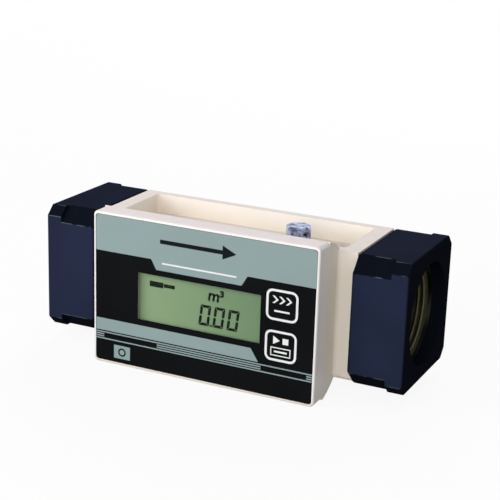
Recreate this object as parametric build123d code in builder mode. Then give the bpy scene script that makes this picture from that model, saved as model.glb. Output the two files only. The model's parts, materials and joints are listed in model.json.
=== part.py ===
from build123d import *
import os
from math import cos, radians, sin, tan

os.makedirs("parts", exist_ok=True)

# In-line turbine flow meter, in millimetres.
# X follows the flow from inlet to outlet, -Y is the display's side and Z is up.
# The origin is on the flow axis, at the plane where the inlet's pipe thread begins.

# Clearances
slip_gap = 0.1
fit_gap = 0.15

# Pipe thread in each end, 1 1/4 inch, drawn as a plain wall at its major radius
thread_radius = 20.955
thread_length = 14.5
lead_in_step = 0.645
lead_in_length = 3.0
mouth_step = 0.5

# End fittings: an outer ring over a block, and the threaded metal socket they hold
ring_width = 7.4
ring_chamfer = 4.2
block_width = 17.0
block_chamfer = 6.6
end_side_wall = 4.5
end_top_wall = 5.0
outline_rounding = 0.8
end_face_rounding = 1.0
inner_face_rounding = 1.8
socket_wall = 2.045
flange_sides = 8
flange_lip = 1.0
flange_width = 3.0
flange_seat = 1.1
spigot_wall = 1.9
pipe_seat_depth = 5.5

# Pegs between ring and block, and the screws that pull each block against the case
fixing_wall = 5.2
peg_angle = 34.5
peg_radius = 1.6
peg_length = 4.0
block_screw_angle = 53.0
block_screw_radius = 1.5
block_screw_head_radius = 2.75
block_screw_head = 3.0
block_screw_sink = 3.3
block_screw_end_wall = 1.1

# Case: a box open on top as a tray, with a flared neck towards the display
pipe_side_gap = 1.1
pipe_top_gap = 0.3
case_wall = 2.5
case_end_wall = 7.1
case_end_length = 8.3
case_bottom_rounding = 2.2
tray_wall = 4.1
tray_floor = 1.6
tray_corner = 1.5
neck_overlap = 1.1
neck_bulge = 0.7
neck_rounding = 1.6

# Graphic panel, laid out from the window and keys with a margin on each side
panel_left_margin = 20.7
panel_right_margin = 7.4
panel_top_margin = 23.0
panel_bottom_margin = 21.9
window_to_key = 2.4
panel_corner = 1.4
panel_recess = 0.55
panel_thickness = 0.4

# Display cover
cover_edge_x = 1.0
cover_edge_z = 1.1
cover_depth = 9.4
cover_wall = 2.5
cover_plate = 1.45
cover_corner = 2.0
cover_front_rounding = 0.7
gasket_width = 1.0
gasket_depth = 0.9

# Screws that hold the cover, under the graphic panel
cover_screw_inset_x = 6.3
cover_screw_inset_z = 7.6
cover_screw_radius = 1.4
cover_screw_head_radius = 2.7
cover_screw_head = 1.8
cover_screw_sink = 2.3
cover_screw_length = 15.0
cover_boss_radius = 3.4
cover_boss_end = 0.85
cover_boss_rib = 1.6

# Window and liquid crystal display
window_width = 57.7
window_height = 21.1
film_overlap = 0.6
lens_lip = 0.5
lens_lip_thickness = 0.5
glass_shift = -0.8
glass_margin_x = 1.15
glass_margin_z = 2.45
glass_thickness = 2.0
frame_wall = 1.4
strip_width = 2.2
strip_inset = 1.5

# Two push keys beside the window
key_width = 14.4
key_height = 13.5
key_spacing = 4.1
key_pair_drop = 1.1
key_corner = 3.0
key_gap = 0.25
key_proud = 0.1
key_travel = 0.4
key_lip = 0.8
key_lip_thickness = 0.7
key_rest_gap = 0.1
switch_size = 6.0
switch_height = 3.4
switch_spare = 0.6
button_radius = 1.7
button_sink = 0.6

# Circuit board behind the cover
board_margin_z = 4.6
board_thickness = 1.6
board_corner = 2.0
board_screw_inset_x = 4.5
board_screw_inset_z = 4.0
board_screw_radius = 1.1
board_screw_head_radius = 2.0
board_screw_head = 1.4
board_screw_bite = 3.2
standoff_radius = 2.6

# Larger components on the back of the board
processor_size = 10.0
processor_height = 1.4
processor_place = (20.0, 10.0)
crystal_length = 8.0
crystal_width = 3.2
crystal_height = 1.8
crystal_place = (20.0, -2.0)
capacitor_radius = 2.0
capacitor_height = 1.8
capacitor_places = [(-16.0, 12.0), (-22.0, 12.0)]

# Lithium cell and its holder on the back of the board
cell_radius = 7.25
cell_length = 50.5
cell_rounding = 0.8
holder_wall = 1.2
holder_grip = 7.0
contact_thickness = 0.5

# Measuring pipe
pipe_bore = 15.0
pipe_wall = 2.5
rotor_step = 0.6
rotor_zone = 10.0
pipe_end_gap = 0.2
o_ring_section = 0.65
o_ring_groove_width = 1.7
o_ring_inset = 3.0
snap_ring_thickness = 1.0
snap_groove_depth = 0.6
snap_ring_opening = 5.0

# Flow guides either side of the rotor
hub_radius = 9.0
hub_gap = 1.0
sleeve_clearance = 0.05
vane_count = 6
vane_thickness = 1.0
inlet_sleeve_length = 32.0
outlet_sleeve_length = 10.0
vane_setback = 1.0
nose_length = 10.0
outlet_hub_length = 16.0
tail_length = 18.0

# Rotor
rotor_width = 9.0
blade_count = 12
blade_twist = 40.0
blade_thickness = 1.1
blade_edge_thickness = 0.5
blade_sections = 5
tip_clearance = 0.4
rim_thickness = 1.2
web_thickness = 2.6
boss_radius = 2.4
boss_gap = 0.1
magnet_rim_gap = 1.4
magnet_thickness = 2.4

# Shaft and its two ball bearings
shaft_radius = 1.5
shaft_chamfer = 0.2
bearing_radius = 4.0
bearing_width = 4.0
bearing_recess = 0.2
ball_radius = 0.794
ball_count = 7
ball_play = 0.026
ring_land = 0.62
cage_thickness = 0.5
cage_width = 2.3
cage_play = 0.06
shaft_overhang = 0.8
shaft_well = 2.2

# Magnetic pickup on the front of the pipe
pickup_radius = 4.0
pickup_sink = 1.2
pickup_head = 4.0
pickup_clearance = 4.0
pickup_collar_lip = 1.0
pickup_collar = 2.0
saddle_height = 15.0
saddle_stand = 6.5
saddle_edge = 0.3
saddle_corner = 1.5
saddle_screw_gap = 0.4
saddle_screw_radius = 1.0
saddle_screw_head_radius = 1.9
saddle_screw_head = 1.3
saddle_screw_bite = 1.4

# Test port in the tray, with a hexagon plug
port_x = 25.0
port_spot_depth = 0.5
port_spot_gap = 0.7
port_tap_radius = 3.4
port_tap_depth = 1.6
port_stem_radius = 4.5
port_collar_lip = 1.7
port_collar = 3.1
port_channel_radius = 1.0
plug_shank_radius = 2.5
plug_shank = 4.0
hexagon_sides = 6
plug_flats = 10.0
plug_head = 5.8
plug_crown_inset = 0.25
plug_crown_slope = 30.0
port_seal_thickness = 0.8

# Radii from the flow axis outwards
pipe_radius = pipe_bore + pipe_wall
rotor_bore = pipe_bore - rotor_step
rotor_radius = rotor_bore - tip_clearance
spigot_radius = pipe_radius + spigot_wall
lead_in_radius = thread_radius + lead_in_step
mouth_radius = lead_in_radius + mouth_step
socket_radius = thread_radius + socket_wall
flange_flats = 2 * (socket_radius + flange_lip)
flange_turn = 180 / flange_sides
fixing_radius = socket_radius + fixing_wall

# Panel, cover and case in front view, from the flow axis and the middle of the meter
panel_width = panel_left_margin + window_width + window_to_key + key_width + panel_right_margin
panel_height = panel_bottom_margin + window_height + panel_top_margin
window_x = panel_left_margin + (window_width - panel_width) / 2
window_z = panel_bottom_margin + (window_height - panel_height) / 2
key_x = (panel_width - key_width) / 2 - panel_right_margin
rate_key_z = window_z - key_pair_drop + (key_height + key_spacing) / 2
start_key_z = rate_key_z - key_height - key_spacing
lens_width = window_width + 2 * film_overlap
lens_height = window_height + 2 * film_overlap
glass_x = window_x + glass_shift
glass_width = window_width + 2 * glass_margin_x
glass_height = window_height + 2 * glass_margin_z
housing_width = panel_width + 2 * cover_edge_x
housing_height = panel_height + 2 * cover_edge_z
cover_screw_x = housing_width / 2 - cover_screw_inset_x
cover_screw_z = housing_height / 2 - cover_screw_inset_z
board_half_width = cover_screw_x - cover_boss_radius - slip_gap
board_half_height = housing_height / 2 - cover_wall - board_margin_z
board_screw_x = board_half_width - board_screw_inset_x
board_screw_z = board_half_height - board_screw_inset_z

# Lengths along the flow, from an end face inwards or from the middle of the meter
mouth_depth = ring_width - flange_width + flange_seat
thread_start = mouth_depth + lead_in_length
thread_end = thread_start + thread_length
end_width = ring_width + block_width
spigot_end = end_width + case_end_wall
seat_start = spigot_end - pipe_seat_depth
case_half_length = housing_width / 2 + case_end_length
tray_half_length = case_half_length - case_end_wall
overall_length = 2 * (case_half_length + end_width)
mid_x = overall_length / 2 - thread_start
pipe_half_length = overall_length / 2 - seat_start - pipe_end_gap
hub_face = rotor_width / 2 + hub_gap
bearing_far_face = hub_face + bearing_recess + bearing_width
ball_pitch_radius = (shaft_radius + bearing_radius) / 2

# Heights over the flow axis
end_depth = 2 * (socket_radius + slip_gap + end_side_wall)
end_height = 2 * (socket_radius + slip_gap + end_top_wall)
tray_floor_top = pipe_radius + pipe_top_gap + tray_floor
port_spot_height = pipe_radius - port_spot_depth
port_collar_base = tray_floor_top + slip_gap
port_collar_top = port_collar_base + port_collar
cell_z = -(saddle_height / 2 + end_height / 2 - case_wall) / 2

# Distances in front of the flow axis
case_depth = 2 * (pipe_radius + pipe_side_gap + case_wall)
tray_half_depth = case_depth / 2 - tray_wall
neck_root = case_depth / 2 - neck_overlap
pickup_nose = pipe_radius - pickup_sink
saddle_front = pipe_radius + saddle_stand
pickup_front = saddle_front + pickup_head
board_back = pickup_front + pickup_clearance
board_front = board_back + board_thickness
switch_front = board_front + switch_height
key_lip_back = switch_front + key_travel + switch_spare
key_lip_front = key_lip_back + key_lip_thickness
plate_back = key_lip_front + key_rest_gap
panel_seat = plate_back + cover_plate
housing_front = panel_seat + panel_recess
joint_front = housing_front - cover_depth
case_boss_length = cover_screw_length - (panel_seat - joint_front) + cover_boss_end
boss_rib_length = cover_screw_inset_x - cover_wall / 2
boss_rib_x = cover_screw_x + boss_rib_length / 2

# Pickup's screws, beside its collar
pickup_collar_radius = pickup_radius + pickup_collar_lip
saddle_screw_x = pickup_collar_radius + saddle_screw_gap + saddle_screw_head_radius
saddle_width = 2 * (saddle_screw_x + saddle_screw_head_radius + saddle_edge)

key_openings = [
    (key_x, rate_key_z),
    (key_x, start_key_z),
]
four_ways = [(1, 1), (-1, 1), (-1, -1), (1, -1)]
quarter_turn = 90


def end_plane(side, depth):
    """Plane across the flow, depth inside one end face and looking inwards (side -1 inlet, 1 outlet)."""
    return Plane(
        origin=(mid_x + side * (overall_length / 2 - depth), 0, 0),
        x_dir=(0, 1, 0),
        z_dir=(-side, 0, 0),
    )


def end_section(side):
    """Plane through the flow axis, with depth inside one end face along x and radius along y."""
    return Plane(
        origin=(mid_x + side * overall_length / 2, 0, 0),
        x_dir=(-side, 0, 0),
        z_dir=(0, side, 0),
    )


def flow_section(side=1):
    """Plane through the flow axis at mid-length, with distance from the middle along x and radius along y."""
    return Plane(origin=(mid_x, 0, 0), x_dir=(side, 0, 0), z_dir=(0, -side, 0))


def across(x):
    """Plane across the flow, x from the middle of the meter."""
    return Plane.YZ.offset(mid_x + x)


def facing(front):
    """Plane parallel to the display, that far in front of the flow axis and looking forwards."""
    return Plane(origin=(mid_x, -front, 0), x_dir=(1, 0, 0), z_dir=(0, -1, 0))


def level(height):
    """Horizontal plane at that height over the flow axis, centred on the meter."""
    return Plane(origin=(mid_x, 0, height), x_dir=(1, 0, 0), z_dir=(0, 0, 1))


def corners(a, b):
    """The four points (+-a, +-b)."""
    return [(a * sign_a, b * sign_b) for sign_a, sign_b in four_ways]


def fixings(angle):
    """The four places of a peg or screw round the socket, that angle up from the level."""
    return corners(fixing_radius * cos(radians(angle)), fixing_radius * sin(radians(angle)))


def neck_corners(outwards):
    """Both inner corners between neck and box, seen from above, moved that far out of their walls."""
    return [(side * (housing_width / 2 + outwards), -case_depth / 2 - outwards) for side in (-1, 1)]


def save(piece, label):
    """Name a finished piece and write it."""
    piece.part.label = label
    export_step(piece.part, f"parts/{label}.step")


def make_end_ring(side, label):
    """Outer ring of an end fitting, with the dark mouth, the socket's pocket and four pegs."""
    with BuildPart() as ring:
        with BuildSketch(end_plane(side, 0)) as outline:
            Rectangle(end_depth, end_height)
            chamfer(outline.vertices(), ring_chamfer)
            fillet(outline.vertices(), outline_rounding)
        extrude(amount=ring_width)
        end_face = ring.faces().sort_by_distance(end_plane(side, 0).origin)[0]
        fillet(end_face.outer_wire().edges(), end_face_rounding)
        with BuildSketch(end_plane(side, 0)):
            Circle(mouth_radius)
        extrude(amount=ring_width, mode=Mode.SUBTRACT)
        with BuildSketch(end_plane(side, mouth_depth)):
            RegularPolygon(flange_flats / 2 + fit_gap, flange_sides, major_radius=False, rotation=flange_turn)
        extrude(amount=ring_width - mouth_depth, mode=Mode.SUBTRACT)
        with BuildSketch(end_plane(side, ring_width)):
            with Locations(*fixings(peg_angle)):
                Circle(peg_radius)
        extrude(amount=peg_length)
    save(ring, label)


def make_end_block(side, label):
    """Block between ring and case, bored for the socket, with counterbores for its four screws."""
    with BuildPart() as block:
        with BuildSketch(end_plane(side, ring_width)) as outline:
            Rectangle(end_depth, end_height)
            chamfer(outline.vertices(), block_chamfer)
            fillet(outline.vertices(), outline_rounding)
        extrude(amount=block_width)
        inner_face = block.faces().sort_by_distance(end_plane(side, end_width).origin)[0]
        fillet(inner_face.outer_wire().edges(), inner_face_rounding)
        with BuildSketch(end_plane(side, ring_width)):
            Circle(socket_radius + slip_gap)
        extrude(amount=block_width, mode=Mode.SUBTRACT)
        with BuildSketch(end_plane(side, ring_width)):
            RegularPolygon(flange_flats / 2 + fit_gap, flange_sides, major_radius=False, rotation=flange_turn)
        extrude(amount=mouth_depth + flange_width - ring_width, mode=Mode.SUBTRACT)
        with BuildSketch(end_plane(side, ring_width)):
            with Locations(*fixings(block_screw_angle)):
                Circle(block_screw_head_radius + slip_gap)
        extrude(amount=block_screw_sink, mode=Mode.SUBTRACT)
        with BuildSketch(end_plane(side, ring_width)):
            with Locations(*fixings(block_screw_angle)):
                Circle(block_screw_radius + slip_gap)
        extrude(amount=block_width, mode=Mode.SUBTRACT)
        with BuildSketch(end_plane(side, ring_width)):
            with Locations(*fixings(peg_angle)):
                Circle(peg_radius + slip_gap)
        extrude(amount=peg_length + slip_gap, mode=Mode.SUBTRACT)
    save(block, label)


def make_socket(side, label):
    """Threaded metal socket: octagonal flange, barrel, and a spigot that holds the pipe's end."""
    with BuildPart() as socket:
        with BuildSketch(end_section(side)):
            with BuildLine():
                Polyline(
                    (mouth_depth, lead_in_radius),
                    (mouth_depth, socket_radius),
                    (end_width, socket_radius),
                    (end_width, spigot_radius),
                    (spigot_end, spigot_radius),
                    (spigot_end, pipe_radius + slip_gap / 2),
                    (seat_start, pipe_radius + slip_gap / 2),
                    (seat_start, pipe_bore),
                    (thread_end, pipe_bore),
                    (thread_end, thread_radius),
                    (thread_start, thread_radius),
                    (thread_start, lead_in_radius),
                    close=True,
                )
            make_face()
        revolve(axis=Axis.X)
        with BuildSketch(end_plane(side, mouth_depth)):
            RegularPolygon(flange_flats / 2, flange_sides, major_radius=False, rotation=flange_turn)
            Circle(lead_in_radius, mode=Mode.SUBTRACT)
        extrude(amount=flange_width)
    save(socket, label)


for end_side, end_name in ((-1, "inlet"), (1, "outlet")):
    make_end_ring(end_side, f"{end_name}_end_ring")
    make_end_block(end_side, f"{end_name}_end_block")
    make_socket(end_side, f"{end_name}_socket")

# Eight cap screws, four in each block
with BuildPart() as end_block_screws:
    for screw_side in (-1, 1):
        head_top = ring_width + block_screw_sink - block_screw_head
        with BuildSketch(end_plane(screw_side, head_top)):
            with Locations(*fixings(block_screw_angle)):
                Circle(block_screw_head_radius)
        extrude(amount=block_screw_head)
        with BuildSketch(end_plane(screw_side, head_top)):
            with Locations(*fixings(block_screw_angle)):
                Circle(block_screw_radius)
        extrude(amount=spigot_end - block_screw_end_wall - head_top)
save(end_block_screws, "end_block_screws")


# Case: body box, flared neck, tray on top, pipe chamber below and an open front
with BuildPart() as body_case:
    with BuildSketch(across(-case_half_length)) as case_outline:
        Rectangle(case_depth, end_height)
        fillet(case_outline.vertices().group_by(Axis.Y)[0], case_bottom_rounding)
    extrude(amount=2 * case_half_length)
    neck_mid_front = (neck_root + joint_front) / 2
    neck_mid_height = (end_height + housing_height) / 4 + neck_bulge
    with BuildSketch(across(-housing_width / 2)):
        with BuildLine():
            ThreePointArc(
                (-neck_root, end_height / 2),
                (-neck_mid_front, neck_mid_height),
                (-joint_front, housing_height / 2),
            )
            Line((-joint_front, housing_height / 2), (-joint_front, -housing_height / 2))
            ThreePointArc(
                (-joint_front, -housing_height / 2),
                (-neck_mid_front, -neck_mid_height),
                (-neck_root, -end_height / 2),
            )
            Line((-neck_root, -end_height / 2), (-neck_root, end_height / 2))
        make_face()
    extrude(amount=housing_width)
    # the inner corners between neck and box are filled to a round
    with BuildSketch(level(case_bottom_rounding - end_height / 2)):
        with Locations(*neck_corners(neck_rounding / 2)):
            Rectangle(neck_rounding, neck_rounding)
        with Locations(*neck_corners(neck_rounding)):
            Circle(neck_rounding, mode=Mode.SUBTRACT)
    extrude(amount=end_height - case_bottom_rounding)
    # the chamber around the pipe
    chamber_top = tray_floor_top - tray_floor
    chamber_bottom = -end_height / 2 + case_wall
    chamber_half_depth = case_depth / 2 - case_wall
    with BuildSketch(across(-tray_half_length)):
        with Locations((0, (chamber_top + chamber_bottom) / 2)):
            Rectangle(2 * chamber_half_depth, chamber_top - chamber_bottom)
    extrude(amount=2 * tray_half_length, mode=Mode.SUBTRACT)
    # the hollow of the neck, open at the front
    neck_hollow_back = chamber_half_depth
    with BuildSketch(across(-housing_width / 2 + cover_wall)):
        with BuildLine():
            Polyline(
                (-neck_hollow_back, end_height / 2 - case_wall),
                (-joint_front, housing_height / 2 - cover_wall),
                (-joint_front, -housing_height / 2 + cover_wall),
                (-neck_hollow_back, -end_height / 2 + case_wall),
                close=True,
            )
        make_face()
    extrude(amount=housing_width - 2 * cover_wall, mode=Mode.SUBTRACT)
    # the tray
    with BuildSketch(level(tray_floor_top)):
        RectangleRounded(2 * tray_half_length, 2 * tray_half_depth, tray_corner)
    extrude(amount=end_height / 2 - tray_floor_top, mode=Mode.SUBTRACT)
    with BuildSketch(level(chamber_top)):
        with Locations((port_x, 0)):
            Circle(port_stem_radius + fit_gap)
    extrude(amount=tray_floor, mode=Mode.SUBTRACT)
    # bores for the sockets' spigots and threaded holes for the block screws
    for hole_side in (-1, 1):
        with BuildSketch(end_plane(hole_side, end_width)):
            Circle(spigot_radius + slip_gap)
        extrude(amount=case_end_wall, mode=Mode.SUBTRACT)
        with BuildSketch(end_plane(hole_side, end_width)):
            with Locations(*fixings(block_screw_angle)):
                Circle(block_screw_radius)
        extrude(amount=case_end_wall - block_screw_end_wall, mode=Mode.SUBTRACT)
    # bosses for the cover's screws, each with a rib to the side wall
    with BuildSketch(facing(joint_front - case_boss_length)):
        with Locations(*corners(cover_screw_x, cover_screw_z)):
            Circle(cover_boss_radius)
        with Locations(*corners(boss_rib_x, cover_screw_z)):
            Rectangle(boss_rib_length, cover_boss_rib)
    extrude(amount=case_boss_length)
    with BuildSketch(facing(panel_seat - cover_screw_length)):
        with Locations(*corners(cover_screw_x, cover_screw_z)):
            Circle(cover_screw_radius)
    extrude(amount=cover_screw_length, mode=Mode.SUBTRACT)
save(body_case, "body_case")


# Display cover: front plate with its recess, window and key openings, walls, bosses and board stand-offs
with BuildPart() as display_cover:
    with BuildSketch(facing(joint_front)):
        RectangleRounded(housing_width, housing_height, cover_corner)
    extrude(amount=cover_depth)
    front_face = display_cover.faces().sort_by(Axis.Y)[0]
    fillet(front_face.edges(), cover_front_rounding)
    with BuildSketch(facing(joint_front)):
        RectangleRounded(
            housing_width - 2 * cover_wall,
            housing_height - 2 * cover_wall,
            cover_corner,
        )
    extrude(amount=plate_back - joint_front, mode=Mode.SUBTRACT)
    with BuildSketch(facing(joint_front)):
        with Locations(*corners(cover_screw_x, cover_screw_z)):
            Circle(cover_boss_radius)
        with Locations(*corners(boss_rib_x, cover_screw_z)):
            Rectangle(boss_rib_length, cover_boss_rib)
    extrude(amount=plate_back - joint_front)
    with BuildSketch(facing(board_front)):
        with Locations(*corners(board_screw_x, board_screw_z)):
            Circle(standoff_radius)
    extrude(amount=plate_back - board_front)
    with BuildSketch(facing(panel_seat)):
        RectangleRounded(panel_width, panel_height, panel_corner)
    extrude(amount=panel_recess, mode=Mode.SUBTRACT)
    with BuildSketch(facing(plate_back)):
        with Locations((window_x, window_z)):
            Rectangle(lens_width, lens_height)
        with Locations(*key_openings):
            RectangleRounded(key_width + 2 * key_gap, key_height + 2 * key_gap, key_corner + key_gap)
    extrude(amount=cover_plate, mode=Mode.SUBTRACT)
    with BuildSketch(facing(panel_seat - cover_screw_sink)):
        with Locations(*corners(cover_screw_x, cover_screw_z)):
            Circle(cover_screw_head_radius + slip_gap)
    extrude(amount=cover_screw_sink, mode=Mode.SUBTRACT)
    with BuildSketch(facing(joint_front)):
        with Locations(*corners(cover_screw_x, cover_screw_z)):
            Circle(cover_screw_radius + slip_gap)
    extrude(amount=panel_seat - joint_front, mode=Mode.SUBTRACT)
    with BuildSketch(facing(board_front)):
        with Locations(*corners(board_screw_x, board_screw_z)):
            Circle(board_screw_radius)
    extrude(amount=board_screw_bite, mode=Mode.SUBTRACT)
    gasket_half_x = (housing_width - cover_wall) / 2
    gasket_half_z = (housing_height - cover_wall) / 2
    groove_half = (gasket_width + slip_gap) / 2
    with BuildSketch(facing(joint_front)):
        Rectangle(2 * (gasket_half_x + groove_half), 2 * (gasket_half_z + groove_half))
        Rectangle(
            2 * (gasket_half_x - groove_half),
            2 * (gasket_half_z - groove_half),
            mode=Mode.SUBTRACT,
        )
    extrude(amount=gasket_depth, mode=Mode.SUBTRACT)
save(display_cover, "display_cover")

# Gasket in the groove of the cover's rim
with BuildPart() as cover_gasket:
    with BuildSketch(facing(joint_front)):
        Rectangle(2 * gasket_half_x + gasket_width, 2 * gasket_half_z + gasket_width)
        Rectangle(
            2 * gasket_half_x - gasket_width,
            2 * gasket_half_z - gasket_width,
            mode=Mode.SUBTRACT,
        )
    extrude(amount=gasket_depth)
save(cover_gasket, "cover_gasket")

# Four screws through the cover into the case, hidden by the graphic panel
with BuildPart() as cover_screws:
    with BuildSketch(facing(panel_seat - cover_screw_sink)):
        with Locations(*corners(cover_screw_x, cover_screw_z)):
            Circle(cover_screw_head_radius)
    extrude(amount=cover_screw_head)
    with BuildSketch(facing(panel_seat - cover_screw_sink)):
        with Locations(*corners(cover_screw_x, cover_screw_z)):
            Circle(cover_screw_radius)
    extrude(amount=cover_screw_sink - cover_screw_length)
save(cover_screws, "cover_screws")

# Graphic panel: a thin plate with an opening for the window and one for each key
with BuildPart() as front_panel:
    with BuildSketch(facing(panel_seat)):
        RectangleRounded(panel_width - 2 * slip_gap, panel_height - 2 * slip_gap, panel_corner)
        with Locations((window_x, window_z)):
            Rectangle(window_width, window_height, mode=Mode.SUBTRACT)
        with Locations(*key_openings):
            RectangleRounded(
                key_width + 2 * key_gap,
                key_height + 2 * key_gap,
                key_corner + key_gap,
                mode=Mode.SUBTRACT,
            )
    extrude(amount=panel_thickness)
save(front_panel, "front_panel")

# Clear window, held behind the plate by its lip and covered at its edges by the panel
with BuildPart() as display_window:
    with BuildSketch(facing(plate_back)):
        with Locations((window_x, window_z)):
            Rectangle(lens_width - 2 * slip_gap, lens_height - 2 * slip_gap)
    extrude(amount=cover_plate)
    with BuildSketch(facing(plate_back - lens_lip_thickness)):
        with Locations((window_x, window_z)):
            Rectangle(lens_width + 2 * lens_lip, lens_height + 2 * lens_lip)
    extrude(amount=lens_lip_thickness)
save(display_window, "display_window")

# Display glass, the frame that holds it off the board, and the two contact strips under its long edges
glass_front = plate_back - lens_lip_thickness - slip_gap
glass_back = glass_front - glass_thickness
with BuildPart() as lcd_glass:
    with BuildSketch(facing(glass_back)):
        with Locations((glass_x, window_z)):
            Rectangle(glass_width, glass_height)
    extrude(amount=glass_thickness)
save(lcd_glass, "lcd_glass")

with BuildPart() as lcd_frame:
    with BuildSketch(facing(board_front)):
        with Locations((glass_x, window_z)):
            Rectangle(
                glass_width + 2 * (fit_gap + frame_wall),
                glass_height + 2 * (fit_gap + frame_wall),
            )
            Rectangle(
                glass_width + 2 * fit_gap,
                glass_height + 2 * fit_gap,
                mode=Mode.SUBTRACT,
            )
    extrude(amount=key_lip_back - key_travel - 2 * slip_gap - board_front)
save(lcd_frame, "lcd_frame")

strip_z = (glass_height - strip_width) / 2 - strip_inset
with BuildPart() as contact_strips:
    with BuildSketch(facing(board_front)):
        with Locations((glass_x, window_z + strip_z), (glass_x, window_z - strip_z)):
            Rectangle(glass_width - 2 * strip_width, strip_width)
    extrude(amount=glass_back - board_front)
save(contact_strips, "contact_strips")


def make_key(key_z, key_label, button_label):
    """One push key with its retaining lip, and the button of the switch that it presses."""
    with BuildPart() as key:
        with BuildSketch(facing(key_lip_front)):
            with Locations((key_x, key_z)):
                RectangleRounded(key_width, key_height, key_corner)
        extrude(amount=panel_seat + panel_thickness + key_proud - key_lip_front)
        with BuildSketch(facing(key_lip_back)):
            with Locations((key_x, key_z)):
                RectangleRounded(key_width + 2 * key_lip, key_height + 2 * key_lip, key_corner)
        extrude(amount=key_lip_thickness)
    save(key, key_label)
    with BuildPart() as button:
        with BuildSketch(facing(switch_front - button_sink)):
            with Locations((key_x, key_z)):
                Circle(button_radius)
        extrude(amount=key_lip_back - switch_front + button_sink)
    save(button, button_label)


make_key(rate_key_z, "rate_key", "rate_switch_button")
make_key(start_key_z, "start_key", "start_switch_button")

# Bodies of the two switches, each with a well for its button
button_well = button_sink + key_travel + slip_gap
with BuildPart() as key_switches:
    with BuildSketch(facing(board_front)):
        with Locations(*key_openings):
            Rectangle(switch_size, switch_size)
    extrude(amount=switch_height)
    with BuildSketch(facing(switch_front - button_well)):
        with Locations(*key_openings):
            Circle(button_radius + slip_gap)
    extrude(amount=button_well, mode=Mode.SUBTRACT)
save(key_switches, "key_switches")

# Circuit board, its screws and the larger components on its back
with BuildPart() as circuit_board:
    with BuildSketch(facing(board_back)):
        RectangleRounded(2 * board_half_width, 2 * board_half_height, board_corner)
        with Locations(*corners(board_screw_x, board_screw_z)):
            Circle(board_screw_radius + slip_gap, mode=Mode.SUBTRACT)
    extrude(amount=board_thickness)
save(circuit_board, "circuit_board")

with BuildPart() as board_screws:
    with BuildSketch(facing(board_back - board_screw_head)):
        with Locations(*corners(board_screw_x, board_screw_z)):
            Circle(board_screw_head_radius)
    extrude(amount=board_screw_head)
    with BuildSketch(facing(board_back)):
        with Locations(*corners(board_screw_x, board_screw_z)):
            Circle(board_screw_radius)
    extrude(amount=board_thickness + board_screw_bite)
save(board_screws, "board_screws")

with BuildPart() as board_components:
    with BuildSketch(facing(board_back)):
        with Locations(processor_place):
            Rectangle(processor_size, processor_size)
    extrude(amount=-processor_height)
    with BuildSketch(facing(board_back)):
        with Locations(crystal_place):
            SlotOverall(crystal_length, crystal_width)
    extrude(amount=-crystal_height)
    with BuildSketch(facing(board_back)):
        with Locations(*capacitor_places):
            Circle(capacitor_radius)
    extrude(amount=-capacitor_height)
save(board_components, "board_components")

# Lithium cell lying across the back of the board, in an open tray with a contact plate at each end
cell_front = board_back - holder_wall
cell_axis = cell_front - cell_radius - slip_gap
holder_half = cell_length / 2 + contact_thickness + fit_gap
with BuildPart() as battery_cell:
    with BuildSketch(across(-cell_length / 2)):
        with Locations((-cell_axis, cell_z)):
            Circle(cell_radius)
    extrude(amount=cell_length)
    fillet(battery_cell.edges().filter_by(GeomType.CIRCLE), cell_rounding)
save(battery_cell, "battery_cell")

with BuildPart() as battery_holder:
    with BuildSketch(facing(board_back)):
        with Locations((0, cell_z)):
            Rectangle(2 * (holder_half + holder_wall), 2 * (cell_radius + slip_gap))
    extrude(amount=-holder_wall)
    for end in (-1, 1):
        with BuildSketch(facing(board_back)):
            with Locations((end * (holder_half + holder_wall / 2), cell_z)):
                Rectangle(holder_wall, 2 * (cell_radius + slip_gap))
        extrude(amount=-holder_wall - cell_radius - holder_grip)
save(battery_holder, "battery_holder")

with BuildPart() as battery_contacts:
    for end in (-1, 1):
        with BuildSketch(facing(cell_front)):
            with Locations((end * (holder_half - contact_thickness / 2), cell_z)):
                Rectangle(contact_thickness, 2 * (cell_radius - holder_wall))
        extrude(amount=-cell_radius - holder_grip + holder_wall)
save(battery_contacts, "battery_contacts")


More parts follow.
